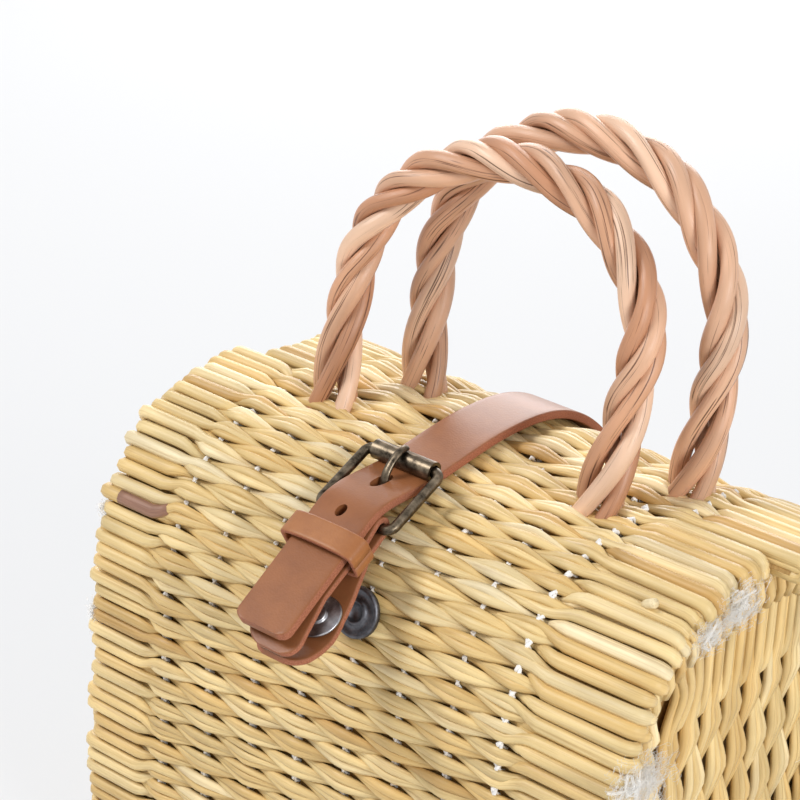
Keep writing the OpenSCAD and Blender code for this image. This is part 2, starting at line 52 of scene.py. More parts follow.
# %% Sizes
basket_w = 227
basket_d = 158
basket_h = 189
seam_y = -1
seam_gap = 1.2
front_slope = 5
shoulder_r = 46
shoulder_angle = 58
haunch_r = 78
back_r = 58
back_slope = 2
wall_lean = 3
base_r = 18
back_shift = 12
shift_rise = 0.45
mat_t = 7
fit = 0.3
panel_x = 94.5
panel_t = 6
print("basket", basket_w, "wide,", basket_d, "deep and", basket_h, "mm high")

# %% [markdown]
# ## The mat's profile
# Seen from the end, the mat is one line of straight stretches and bends. Its heading turns from the front
# flap down the front, under the base and up the back. It could be a curve object. Walked in short steps, it
# becomes a table instead, in which every reed can look up its own place and slope.

# %% Profile of the mat
front_down = 90 - wall_lean
back_up = 270 + wall_lean


def rad(degrees):
    return degrees * math.pi / 180


def bend(radius, first, last):
    return (radius * rad(last - first), first, last)


front_reach = basket_d / 2 + seam_y - base_r * (1 - math.sin(rad(front_down)))
front_reach -= shoulder_r * (math.sin(rad(shoulder_angle)) - math.sin(rad(front_slope)))
front_reach -= haunch_r * (math.sin(rad(front_down)) - math.sin(rad(shoulder_angle)))
front_fall = basket_h - base_r * (1 + math.cos(rad(front_down)))
front_fall -= shoulder_r * (math.cos(rad(front_slope)) - math.cos(rad(shoulder_angle)))
front_fall -= haunch_r * (math.cos(rad(shoulder_angle)) - math.cos(rad(front_down)))
front_turn = math.sin(rad(front_down - front_slope))
front_flat = (front_reach * math.sin(rad(front_down)) - front_fall * math.cos(rad(front_down))) / front_turn
front_wall = (front_fall * math.cos(rad(front_slope)) - front_reach * math.sin(rad(front_slope))) / front_turn

back_reach = basket_d / 2 - seam_y - seam_gap - base_r * (1 - math.cos(rad(wall_lean)))
back_reach -= back_r * (math.cos(rad(wall_lean)) - math.sin(rad(back_slope)))
back_rise = basket_h - base_r * (1 + math.sin(rad(wall_lean)))
back_rise -= back_r * (math.cos(rad(back_slope)) - math.sin(rad(wall_lean)))
back_turn = math.cos(rad(back_slope + wall_lean))
back_flat = (back_reach * math.cos(rad(wall_lean)) - back_rise * math.sin(rad(wall_lean))) / back_turn
back_wall = (back_rise * math.cos(rad(back_slope)) - back_reach * math.sin(rad(back_slope))) / back_turn

stretches = [
    (front_flat, front_slope, front_slope),
    bend(shoulder_r, front_slope, shoulder_angle),
    bend(haunch_r, shoulder_angle, front_down),
    (front_wall, front_down, front_down),
    bend(base_r, front_down, 180),
    (basket_d - 2 * base_r, 180, 180),
    bend(base_r, 180, back_up),
    (back_wall, back_up, back_up),
    bend(back_r, back_up, 360 - back_slope),
    (back_flat, 360 - back_slope, 360 - back_slope),
]
step = 0.1
steps = [max(2, round(length / step)) for length, first, last in stretches]
heads = np.concatenate([np.linspace(a, b, n + 1)[:-1] for n, (length, a, b) in zip(steps, stretches)])
sizes = np.concatenate([np.full(n, length / n) for n, (length, a, b) in zip(steps, stretches)])
run_s = np.concatenate([[0], np.cumsum(sizes)])
run_y = seam_y + np.concatenate([[0], np.cumsum(-sizes * np.cos(np.radians(heads)))])
run_z = basket_h + np.concatenate([[0], np.cumsum(-sizes * np.sin(np.radians(heads)))])
run_a = np.concatenate([heads, [360 - back_slope]])
mat_length = run_s[-1]


def ease(t):
    t = np.clip(t, 0, 1)
    return t * t * (3 - 2 * t)


def on_mat(x, s, h):
    """Points at x along the reeds, s along the profile and h outside the middle of the ridges."""
    x, s, h = np.broadcast_arrays(x, s, h)
    y = np.interp(s, run_s, run_y)
    z = np.interp(s, run_s, run_z)
    a = np.interp(s, run_s, run_a)
    over = np.where(a < 180, 0, back_shift * ease((z - basket_h / 2) / (basket_h * shift_rise)))
    turn = np.radians(a)
    return np.stack([x + over, y - np.sin(turn) * h, z + np.cos(turn) * h], axis=-1)


def along_mat(s):
    """Directions of the profile at s."""
    turn = np.radians(np.interp(s, run_s, run_a))
    return np.stack([0 * turn, -np.cos(turn), -np.sin(turn)], axis=-1)


def at_slope(a):
    return float(np.interp(a, run_a, run_s))


print("mat length", round(mat_length, 1), "mm, back lip at", round(run_y[-1], 2), round(run_z[-1], 2))

# %% [markdown]
# ## Materials from nodes
# One small function adds a shader node, sets its values and links its inputs, so a material reads as a short
# list. Colours are written as sRGB hex, as a picture editor shows them, and are turned to linear light here.

# %% Node helper
def colour(hex_code):
    parts = [int(hex_code[i:i + 2], 16) / 255 for i in (1, 3, 5)]
    linear = [c / 12.92 if c <= 0.04045 else ((c + 0.055) / 1.055) ** 2.4 for c in parts]
    return (*linear, 1)


def set_stops(band, stops):
    while len(band.elements) < len(stops):
        band.elements.new(0.5)
    for element, (place, code) in zip(band.elements, stops):
        element.position = place
        element.color = colour(code)


def add(tree, kind, settings=None, links=None):
    node = tree.nodes.new(kind)
    for key, value in (settings or {}).items():
        if key == "stops":
            set_stops(node.color_ramp, value)
        elif isinstance(key, str) and hasattr(node, key):
            setattr(node, key, value)
        else:
            node.inputs[key].default_value = value
    for key, socket in (links or {}).items():
        tree.links.new(socket, node.inputs[key])
    return node


def new_material(name):
    material = bpy.data.materials.new(name)
    material.use_nodes = True
    return material, material.node_tree, material.node_tree.nodes["Principled BSDF"]


# %% [markdown]
# ## Rush, willow and cotton
# All three are bundles of long fibres. A wood texture could colour them, but its lines would cut across the
# bends. So every tube carries a "grain" place, in millimetres along it and round its skin, and noise that is
# stretched in that space gives lines that follow each reed. A "tint" number gives each reed its own shade.

# %% Fibre materials
patch_per_mm = (0.03, 0.12, 0.12)
patch_shades = {"From Min": 0.3, "From Max": 0.7, "To Min": 0.78, "To Max": 1.1}
fibre_depth = 0.0004
waxy_shine = 0.35


def fibre(name, shades, streak, rough, along, across, bump, dark, band=(0.42, 0.72)):
    """Fibres so many to the millimetre along and across, darker where the noise lies in the band."""
    material, tree, surface = new_material(name)
    grain = add(tree, "ShaderNodeAttribute", {"attribute_name": "grain"})
    tint = add(tree, "ShaderNodeAttribute", {"attribute_name": "tint"})
    base = add(tree, "ShaderNodeValToRGB", {"stops": shades}, {"Fac": tint.outputs["Fac"]})
    squeeze = add(tree, "ShaderNodeVectorMath", {"operation": "MULTIPLY", 1: (along, across, across)},
                  {0: grain.outputs["Vector"]})
    fibres = add(tree, "ShaderNodeTexNoise", {"Scale": 1.0, "Detail": 4.0, "Roughness": 0.6},
                 {"Vector": squeeze.outputs["Vector"]})
    lines = add(tree, "ShaderNodeMapRange", {"From Min": band[0], "From Max": band[1], "To Max": dark},
                {"Value": fibres.outputs["Fac"]})
    streaked = add(tree, "ShaderNodeMix", {"data_type": "RGBA", 7: colour(streak)},
                   {0: lines.outputs["Result"], 6: base.outputs["Color"]})
    patch = add(tree, "ShaderNodeVectorMath", {"operation": "MULTIPLY", 1: patch_per_mm},
                {0: grain.outputs["Vector"]})
    blotch = add(tree, "ShaderNodeTexNoise", {"Scale": 1.0, "Detail": 2.0},
                 {"Vector": patch.outputs["Vector"]})
    shade = add(tree, "ShaderNodeMapRange", patch_shades, {"Value": blotch.outputs["Fac"]})
    toned = add(tree, "ShaderNodeHueSaturation", links={"Value": shade.outputs["Result"],
                                                        "Color": streaked.outputs[2]})
    relief = add(tree, "ShaderNodeBump", {"Strength": bump, "Distance": fibre_depth},
                 {"Height": fibres.outputs["Fac"]})
    tree.links.new(toned.outputs["Color"], surface.inputs["Base Color"])
    tree.links.new(relief.outputs["Normal"], surface.inputs["Normal"])
    surface.inputs["Roughness"].default_value = rough
    surface.inputs["Specular IOR Level"].default_value = waxy_shine
    return material


# Dried rush is a stem with a waxy, finely lined skin: straw colours from brown to cream, with a soft broad
# sheen. Its lines are about 0.9 mm apart, coarser than the real ones, which would not show.
reed_shades = [(0.0, "#b98c52"), (0.25, "#d6b373"), (0.6, "#e4ca91"), (1.0, "#f2e2bc")]
reed = fibre("dried_rush", reed_shades, "#a2763a", 0.42, 0.02, 1.1, 0.35, 0.5, (0.48, 0.76))
# Peeled willow was boiled in its bark, which dyes the smooth wood pinkish brown. It has dark cracks along it.
willow_shades = [(0.0, "#b27d5c"), (0.5, "#cd9c7b"), (1.0, "#e6c1a4")]
willow = fibre("peeled_willow", willow_shades, "#55321f", 0.34, 0.014, 1.4, 0.45, 0.9, (0.58, 0.66))
# Cotton twine is matt and white, and its plies give it all the relief that shows.
cotton_shades = [(0.0, "#e0dad2"), (1.0, "#fbf9f6")]
cotton = fibre("cotton_twine", cotton_shades, "#d2cac0", 0.95, 0.5, 2.0, 0.5, 0.3)
# One rush has a brown stain. The rushes inside the mat get little light; their darker brown is painted shade.
stain_shades = [(0.0, "#86604f"), (1.0, "#a57f69")]
stain = fibre("stained_rush", stain_shades, "#5d4034", 0.5, 0.03, 1.1, 0.35, 0.6, (0.44, 0.7))
# Painted shade: the inner rushes are coloured darker brown than the outer ones.
core_painted_shade_tones = [(0.0, "#8d6a3a"), (1.0, "#bd975c")]
core = fibre("inner_rush_painted_shade", core_painted_shade_tones, "#7a572e", 0.8, 0.04, 1.0, 0.4, 0.6)
print("fibre materials", [m.name for m in (reed, willow, cotton, stain, core)])

# %% [markdown]
# ## Leather and metal
# The strap is vegetable tanned leather: a smooth face with pores, and raw pinkish fibres on its cut edges.
# Two materials could be given to faces and edges, but one that reads an "edge" number can't come apart
# between them. The metals are dark plating over brass and steel, worn brighter in patches.

# %% Leather and metal materials
# Real pores are about 0.2 mm apart. They are drawn as coarse as they need to show.
pore_mm = 0.7143
cloud_mm = 11.11
raw_fibre_mm = 0.4545
wear_mm = 3.846
skin_depth = 0.0002
face_rough = 0.38
cut_rough = 0.9
leather_shine = 0.3


def leather_material(name, face, deep, cut):
    material, tree, surface = new_material(name)
    place = add(tree, "ShaderNodeTexCoord")
    edge = add(tree, "ShaderNodeAttribute", {"attribute_name": "edge"})
    pores = add(tree, "ShaderNodeTexVoronoi", {"Scale": 1 / (pore_mm * MM)},
                {"Vector": place.outputs["Object"]})
    cloud = add(tree, "ShaderNodeTexNoise", {"Scale": 1 / (cloud_mm * MM), "Detail": 5.0, "Roughness": 0.65},
                {"Vector": place.outputs["Object"]})
    spread = add(tree, "ShaderNodeMapRange", {"From Min": 0.3, "From Max": 0.7},
                 {"Value": cloud.outputs["Fac"]})
    skin = add(tree, "ShaderNodeMix", {"data_type": "RGBA", 6: colour(deep), 7: colour(face)},
               {0: spread.outputs["Result"]})
    fuzz = add(tree, "ShaderNodeTexNoise", {"Scale": 1 / (raw_fibre_mm * MM), "Detail": 3.0},
               {"Vector": place.outputs["Object"]})
    raw = add(tree, "ShaderNodeValToRGB", {"stops": [(0.3, cut[0]), (0.7, cut[1])]},
              {"Fac": fuzz.outputs["Fac"]})
    both = add(tree, "ShaderNodeMix", {"data_type": "RGBA"},
               {0: edge.outputs["Fac"], 6: skin.outputs[2], 7: raw.outputs["Color"]})
    height = add(tree, "ShaderNodeMix", {"data_type": "FLOAT"},
                 {0: edge.outputs["Fac"], 2: pores.outputs["Distance"], 3: fuzz.outputs["Fac"]})
    relief = add(tree, "ShaderNodeBump", {"Strength": 0.15, "Distance": skin_depth},
                 {"Height": height.outputs[0]})
    gloss = add(tree, "ShaderNodeMapRange", {"To Min": face_rough, "To Max": cut_rough},
                {"Value": edge.outputs["Fac"]})
    tree.links.new(both.outputs[2], surface.inputs["Base Color"])
    tree.links.new(relief.outputs["Normal"], surface.inputs["Normal"])
    tree.links.new(gloss.outputs["Result"], surface.inputs["Roughness"])
    surface.inputs["Specular IOR Level"].default_value = leather_shine
    return material


def metal_material(name, dark, bright, rough):
    material, tree, surface = new_material(name)
    place = add(tree, "ShaderNodeTexCoord")
    wear = add(tree, "ShaderNodeTexNoise", {"Scale": 1 / (wear_mm * MM), "Detail": 6.0, "Roughness": 0.7},
               {"Vector": place.outputs["Object"]})
    tone = add(tree, "ShaderNodeValToRGB", {"stops": [(0.35, dark), (0.7, bright)]},
               {"Fac": wear.outputs["Fac"]})
    dull = add(tree, "ShaderNodeMapRange", {"To Min": rough - 0.12, "To Max": rough + 0.15},
               {"Value": wear.outputs["Fac"]})
    relief = add(tree, "ShaderNodeBump", {"Strength": 0.12, "Distance": skin_depth},
                 {"Height": wear.outputs["Fac"]})
    tree.links.new(tone.outputs["Color"], surface.inputs["Base Color"])
    tree.links.new(dull.outputs["Result"], surface.inputs["Roughness"])
    tree.links.new(relief.outputs["Normal"], surface.inputs["Normal"])
    surface.inputs["Metallic"].default_value = 1.0
    return material


# Tanned leather has a satin brown face and dull cut edges. The keeper has a lighter copy of it: painted
# sheen.
cut_shades = ("#8a523a", "#ab6f54")
leather = leather_material("tan_leather", "#945d38", "#835132", cut_shades)
keeper_painted_sheen_leather = leather_material("keeper_painted_sheen_leather", "#a56c40", "#925c37", cut_shades)
# Antique brass was darkened and then rubbed, so it shines in patches. The snap is plated steel, dull and dark
# on the basket's disc and still bright on the half that the tab covers.
brass = metal_material("antique_brass", "#2f2922", "#857764", 0.34)
snap_metal = metal_material("dull_plated_steel", "#4c4c50", "#7b7b80", 0.45)
cap_metal = metal_material("bright_plated_steel", "#85858a", "#c4c4c6", 0.36)
print("leathers", leather.name, keeper_painted_sheen_leather.name)
print("metals", brass.name, snap_metal.name, cap_metal.name)

# %% [markdown]
# ## Tubes and pieces
# Reeds, rods, threads and the prong are all rings carried along a path. Curve objects could do that, but some
# thousand of them are slow, and a mesh can keep the grain numbers. A store gathers points, faces and numbers,
# and finishing it makes one mesh, gives it its material and ties it to its body.

# %% Mesh building
number_kinds = (("grain", "FLOAT_VECTOR", "vector"), ("tint", "FLOAT", "value"), ("edge", "FLOAT", "value"))


def new_store():
    return {"co": [], "faces": [], "grain": [], "tint": [], "edge": [], "count": 0}


def add_grid(store, rings, grain, tint, edge):
    """Joins rings of points, n by m by 3, into a closed skin with a face at each end."""
    n, m = rings.shape[:2]
    first = store["count"]
    number = first + np.arange(n * m).reshape(n, m)
    after = np.roll(number, -1, axis=1)
    quads = np.stack([number[:-1], after[:-1], after[1:], number[1:]], axis=-1).reshape(-1, 4)
    store["faces"] += quads.tolist() + [number[0, ::-1].tolist(), number[-1].tolist()]
    store["co"].append(rings.reshape(-1, 3) * MM)
    store["grain"].append(grain.reshape(-1, 3))
    store["tint"].append(np.full(n * m, tint))
    store["edge"].append(np.broadcast_to(edge, (n, m)).reshape(-1))
    store["count"] += n * m


def unit(v):
    return v / np.linalg.norm(v, axis=-1, keepdims=True)


def run_length(line):
    return np.concatenate([[0], np.cumsum(np.linalg.norm(np.diff(line, axis=0), axis=1))])


def add_tube(store, path, radius, across, sides=7, tint=0.5, flat=1.0):
    """A tube along a path, flattened by a share at right angles to the direction across."""
    tangent = unit(np.gradient(path, axis=0))
    rise = unit(np.cross(tangent, np.broadcast_to(across, path.shape)))
    side = np.cross(rise, tangent)
    turn = np.linspace(0, 2 * math.pi, sides, endpoint=False)
    radius = np.broadcast_to(radius, len(path))[:, None, None]
    ring = flat * np.cos(turn)[None, :, None] * rise[:, None] + np.sin(turn)[None, :, None] * side[:, None]
    walked = np.broadcast_to(run_length(path)[:, None], ring.shape[:2])
    seed = rng.uniform(0, 400)
    thick = radius[..., 0]
    skin = np.stack([walked, seed + thick * np.cos(turn), seed + thick * np.sin(turn)], axis=-1)
    add_grid(store, path[:, None] + radius * ring, skin, tint, 0.0)


def make_piece(name, store, material, body, nodes=()):
    mesh = bpy.data.meshes.new(name)
    mesh.from_pydata(np.concatenate(store["co"]), [], store["faces"])
    for key, kind, field in number_kinds:
        values = np.concatenate(store[key]).astype(np.float32).ravel()
        mesh.attributes.new(key, kind, "POINT").data.foreach_set(field, values)
    mesh.polygons.foreach_set("use_smooth", np.ones(len(mesh.polygons), bool))
    mesh.materials.append(material)
    mesh.validate()
    piece = bpy.data.objects.new(name, mesh)
    bpy.context.scene.collection.objects.link(piece)
    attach(piece, body)
    if nodes:
        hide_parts(*nodes)
    mesh.calc_loop_triangles()
    print(name, len(mesh.loop_triangles), "triangles")
    return piece


# %% [markdown]
# ## The woven mat
# A weft is two or three rushes side by side. It rises over every second warp and dives under the ones
# between, and the next weft does the opposite, so the raised parts show as grains in brickwork. Past the last
# warps the rushes lie straight, and at the mat's ends they fold round to the inside as small loops. A bump
# pattern could only paint this. Laid one by one, the rushes also hide and shade each other as real ones do.

# %% Weave
warp_span = 143
warp_middle = -5
warp_count = 8
warp_pitch = warp_span / (warp_count - 1)
warps = warp_middle - warp_span / 2 + warp_pitch * np.arange(warp_count)
weft_size = 4.1
weft_count = round(mat_length / weft_size)
weft_pitch = mat_length / weft_count
pair_r = 1.95
triple_r = 1.48
triple_share = 0.3
triple_lift = 0.3
crest_spread = 1.55
crest_squeeze = 0.05
wave_low = -1.6
wave_rise = 1.65
wave_fade = 9
wave_round = 0.25
wave_peak = 0.98
margin_r = 2.45
margin_group = 5
margin_lift = 0.6
margin_fade = 12
margin_squeeze = 0.1
outer_depths = (-0.3, 0.5)
inner_depths = (1.9, 2.6)
deepest = -6
weft_shades = (0.34, 0.74)
reed_scatter = 0.12
left_ends = (-0.7, 3.0)
right_ends = (-0.7, 2.0)
loop_r = 2.6
tuck = 16
ring_gap = 3.0
base_sink = 2.1
print(weft_count, "wefts,", round(weft_pitch, 2), "mm apart, over", warp_count, "warps")


def weave_wave(t, first, last, pitch, parity):
    """1 over a warp and -1 under it, and a steady height outside the warps."""
    wave = np.cos(math.pi * (t - first) / pitch + math.pi * parity)
    wave = wave_round * wave + (1 - wave_round) * np.arcsin(wave_peak * wave) / math.asin(wave_peak)
    outside = np.maximum(first - t, t - last)
    return wave + (margin_lift - wave) * ease(outside / wave_fade)


def folded(left, right):
    """Places along a rush that folds inwards at both ends, and its depth below the surface there."""
    middle = np.linspace(left, right, round((right - left) / ring_gap))
    turn = np.linspace(0, math.pi, 6)[1:]
    right_x = np.concatenate([right + loop_r * np.sin(turn), [right - tuck]])
    left_x = np.concatenate([left - loop_r * np.sin(turn), [left + tuck]])
    sunk = np.concatenate([loop_r * (1 - np.cos(turn)), [2 * loop_r]])
    x = np.concatenate([left_x[::-1], middle, right_x])
    return x, np.concatenate([sunk[::-1], 0 * middle, sunk])


def flat_share(s):
    """How far a place on the mat belongs to the flat underside, from 0 to 1."""
    return 1 - np.minimum(1, np.abs(np.interp(s, run_s, run_a) - 180) / 90)


# %% [markdown]
# ## Laying the rushes
# Real rushes wander, differ in shade and end where they like. A pattern that repeats would be quicker, but
# the eye finds the repeat at once. So each rush draws its own small differences from a seeded generator,
# which gives the same bag on every run.

# %% Rushes
stained_weft = 18
stained_from = -103
stained_to = -80
stains = new_store()


def lay_weft(store, k):
    """One weft. In the margins each five wefts show as four thick rushes, and the fifth stays below."""
    s_mid = (k + 0.5) * weft_pitch
    group, member = divmod(k, margin_group)
    hidden = 3 * group % margin_group
    rank = member - (member > hidden)
    s_margin = (group + (rank + 0.5) / (margin_group - 1)) * margin_group * weft_pitch
    shift = 0 if member == hidden else s_margin - s_mid
    count = 3 if rng.random() < triple_share else 2
    thick = triple_r if count == 3 else pair_r
    weft_tint = rng.uniform(*weft_shades)
    for j in range(count):
        place = (j - (count - 1) / 2) * thick * crest_spread
        outer = j == k % count and member != hidden
        deeper = rng.uniform(*outer_depths) if outer else rng.uniform(*inner_depths)
        left = -basket_w / 2 + loop_r + margin_r + rng.uniform(*left_ends)
        right = basket_w / 2 - loop_r - margin_r - rng.uniform(*right_ends)
        x, sunk = folded(left, right)
        inside = np.clip(x, left, right)
        wave = weave_wave(inside, warps[0], warps[-1], warp_pitch, k)
        margin = ease(np.maximum(warps[0] - inside, inside - warps[-1]) / margin_fade)
        lifted = (1 + wave) / 2
        phase = rng.uniform(0, 6.28, 2)
        wander = 0.25 * np.sin(x / 31 + phase[0]) + 0.14 * np.sin(x / 11 + phase[1])
        squeeze = crest_squeeze + (1 - crest_squeeze) * lifted
        s = s_mid + place * (squeeze + (margin_squeeze - squeeze) * margin) + shift * margin + wander
        s = np.clip(s, 0.9, mat_length - 0.9)
        h = wave_low + wave_rise * wave - sunk - deeper * margin
        h = h + (triple_lift * lifted if count == 3 and j == 1 else 0)
        h = np.maximum(h + 0.1 * np.sin(x / 17 + phase[1]), deepest) - base_sink * flat_share(s)
        full = thick + (margin_r - thick) * margin if outer else thick
        radius = full * rng.uniform(0.93, 1.05) * (0.5 + 0.5 * np.maximum(lifted, margin))
        tint = float(np.clip(weft_tint + rng.normal(0, reed_scatter), 0.02, 1))
        path = on_mat(x, s, h)
        add_tube(store, path, radius, along_mat(s), sides=7, tint=tint, flat=0.9)
        if k == stained_weft and outer:
            part = (x > stained_from) & (x < stained_to) & (sunk == 0)
            add_tube(stains, path[part], 1.04 * radius[part], along_mat(s[part]), sides=9, flat=0.9)


mat_parts = ["front_flap", "front", "base", "back", "back_flap"]
for i, word in enumerate(mat_parts):
    store = new_store()
    for k in range(i * weft_count // len(mat_parts), (i + 1) * weft_count // len(mat_parts)):
        lay_weft(store, k)
    make_piece("rush_mat_" + word, store, reed, "bag", ["body_mat"] if i == 0 else [])
make_piece("stained_rush", stains, stain, "bag")

stub_x = np.array([95, 96.6, 98, 99])
stub_h = np.array([0.5, 2.0, 3.0, 3.6])
stub_s = np.full(len(stub_x), 42.5)
stub_r = 1.6
stub = new_store()
add_tube(stub, on_mat(stub_x, stub_s, stub_h), stub_r, along_mat(stub_s), sides=9, tint=0.9)
make_piece("cut_rush_stub", stub, reed, "bag")

# %% [markdown]
# ## Warps and the hidden core
# Each warp is a two-ply cotton cord that passes over the wefts that dive and under the ones that rise. White
# dots could be put where it shows, but a cord that is laid right shows in those places by itself. A real mat
# is thick with rushes, so a plain core behind them closes the pockets to the light; its darker brown is
# painted shade.

# %% Warps and core
ply_r = 0.52
last_ply_r = 0.72
ply_turn = 4.5
warp_low = -2.85
warp_rise = 1.7
warp_loose = 0.5
last_lift = 1.35
threads = new_store()
s = np.arange(1, mat_length - 1, 1.2)
for c, warp_x in enumerate(warps):
    rise = np.tanh(-2 * np.cos(math.pi * (s / weft_pitch - 0.5) + math.pi * c))
    last = c == len(warps) - 1
    thick = last_ply_r if last else ply_r
    h = warp_low + warp_rise * rise - base_sink * flat_share(s) + (last_lift if last else 0)
    h = h + warp_loose * np.sin(s / 12.7 + 2 * c) * np.sin(s / 5.3 + c)
    for ply in (0, 1):
        turn = 2 * math.pi * s / ply_turn + math.pi * ply
        path = on_mat(warp_x + thick * np.cos(turn), s, h + thick * 0.8 * np.sin(turn))
        add_tube(threads, path, thick, (1, 0, 0), sides=5, tint=rng.uniform(0.7, 1))
make_piece("cotton_warps", threads, cotton, "bag")

# The core sheet takes the darker brown of the inner rushes: painted shade seen through the pockets.
inner = new_store()
s = np.linspace(0.5, mat_length - 0.5, 220)
half = basket_w / 2 - loop_r - pair_r - 3
core_top = -4.0
core_low = -6.4
corners = [(-half, core_top), (half, core_top), (half, core_low), (-half, core_low)]
shell = np.stack([on_mat(x, s, h) for x, h in corners], axis=1)
skin = np.stack([np.broadcast_to(s[:, None], shell.shape[:2]), shell[..., 0], 0 * shell[..., 0]], axis=-1)
add_grid(inner, shell, skin, 0.7, 0.0)
make_piece("mat_core", inner, core, "bag")

# %% [markdown]
# ## The end panels
# Each end is a smaller mat of upright rushes, set in behind the ends of the big mat. The rushes fold over
# outwards along the top edge and make its thick rim. They could be bent from straight ones with a modifier.
# Paths that already hold the fold are simpler, and follow the rounded edge of the panel.

# %% Panel edges
panel_drop = 7
drop_end = 75
drop_full = 50
slope = np.minimum(run_a, 360 - run_a)
gap = mat_t + fit + panel_drop * (1 - ease((slope - drop_full) / (drop_end - drop_full)))
edge_y = run_y + np.sin(np.radians(run_a)) * gap
edge_z = run_z - np.cos(np.radians(run_a)) * gap
upper = (run_a <= 90) | (run_a >= 270)
order = np.argsort(edge_y[upper])
top_y, top_z = edge_y[upper][order], edge_z[upper][order]
order = np.argsort(edge_y[~upper])
low_y, low_z = edge_y[~upper][order], edge_z[~upper][order]
print("panel edge from", round(low_z.min(), 1), "to", round(top_z.max(), 1), "mm high")

# %% [markdown]
# ## The rushes of the panels
# They are woven like the mat, only upright. In the right panel some rushes have parted and left an eye below
# the rim. It could be cut out, but pushing the paths aside there is what happened to the real ones.

# %% Panels
panel_warp_top = 122
panel_warps = panel_warp_top - warp_pitch * np.arange(6)
panel_pitch = 6.3
panel_reed_r = 1.8
panel_spread = 1.75
panel_wave = 2.0
panel_shades = (0.3, 0.7)
end_squeeze = 0.22
rim_r = 3.2
rim_fold = 11
rim_lean = 7
rim_tuck = 2.4
rim_scatter = (-1.6, 0.6)
rim_step = 0.9
rim_above = 2
rim_fade = 14
rim_squeeze = 0.25
panel_squeeze = 0.1
lean_until = 50
eye_y = -28
eye_z = 141
eye_half = 9
eye_deep = 14
eye_wide = 6
core_face = 3.2
core_back = 4.2


def panel_reeds(side):
    store = new_store()
    half_depth = basket_d / 2 - mat_t - 1
    count = round(2 * half_depth / panel_pitch)
    for k in range(count):
        y_mid = -half_depth + (k + 0.5) * 2 * half_depth / count
        weft_tint = rng.uniform(*panel_shades)
        for j in (-1, 0, 1):
            place = j * panel_reed_r * panel_spread
            y_end = y_mid + end_squeeze * place
            low = np.interp(y_end, low_y, low_z) + panel_reed_r
            high = np.interp(y_end, top_y, top_z) - rim_r + rng.uniform(*rim_scatter)
            z = np.linspace(low, high, max(6, round((high - low) / ring_gap)))
            turn = np.linspace(0, math.pi, 7)[1:]
            fold_z = np.concatenate([high + rim_r * np.sin(turn), [high - rim_fold / 2, high - rim_fold]])
            out = np.concatenate([0 * z, rim_r * (1 - np.cos(turn)), [2 * rim_r, 2 * rim_r - rim_tuck]])
            lean = rim_lean * np.concatenate([0 * z, turn / math.pi * 0.5, [0.75, 1]])
            z = np.concatenate([z, fold_z])
            wave = weave_wave(np.minimum(z, high), panel_warps[-1], panel_warps[0], warp_pitch, k)
            margin = ease((z - panel_warp_top - rim_above) / rim_fade)
            lifted = (1 + wave) / 2
            squeeze = panel_squeeze + (1 - panel_squeeze) * lifted
            bow = 0.3 * np.sin(z / 23 + rng.uniform(0, 6))
            gather = squeeze + (rim_squeeze - squeeze) * margin
            y = y_mid + place * gather + bow + lean * (y_mid < lean_until)
            opened = np.exp(-((z - eye_z) / eye_half) ** 2 - ((y_mid - eye_y) / eye_deep) ** 2)
            y = y + (side > 0) * np.sign(y_mid - eye_y) * eye_wide * opened
            x = side * (panel_x + panel_wave * wave + out + (rim_step if j == 0 else -rim_step) * margin)
            radius = panel_reed_r * rng.uniform(0.9, 1.05) * (0.5 + 0.5 * np.maximum(lifted, margin))
            tint = float(np.clip(weft_tint + rng.normal(0, reed_scatter), 0.02, 1))
            add_tube(store, np.stack([x, y, z], axis=-1), radius, (0, 1, 0), sides=7, tint=tint)
    return store


for side, word in ((-1, "left"), (1, "right")):
    make_piece(word + "_panel_rush", panel_reeds(side), reed, "bag", [word + "_side_panel"])
    # Behind each panel lies a sheet in the same darker brown: painted shade in the gaps between its rushes.
    backing = new_store()
    keep = (run_a > 20) & (run_a < 340)
    ring = np.stack([0 * edge_y[keep], edge_y[keep], edge_z[keep]], axis=-1)[::25]
    rings = np.stack([ring + [side * (panel_x - deep), 0, 0] for deep in (core_face, core_back)])
    rings = rings if side > 0 else rings[::-1]
    add_grid(backing, rings, rings, 0.3, 0.0)
    make_piece(word + "_panel_core", backing, core, "bag")

# %% [markdown]
# ## The willow handles
# Four willow rods twist round each other from foot to foot, and at the feet they spread and go down between
# the rushes. A screw modifier would twist them evenly. Paths with a small wobble in turn and thickness look
# like rods that grew.

# %% Handles
handle_foot = 55.5
handle_half = 58
leg_h = 41
rods = 4
strand_r = 4.4
rod_r = 3.2
rod_twist = 1440
splay = 3
sink = 7
leg_share = 0.16
foot_rise = 1.8
wobble = 0.2


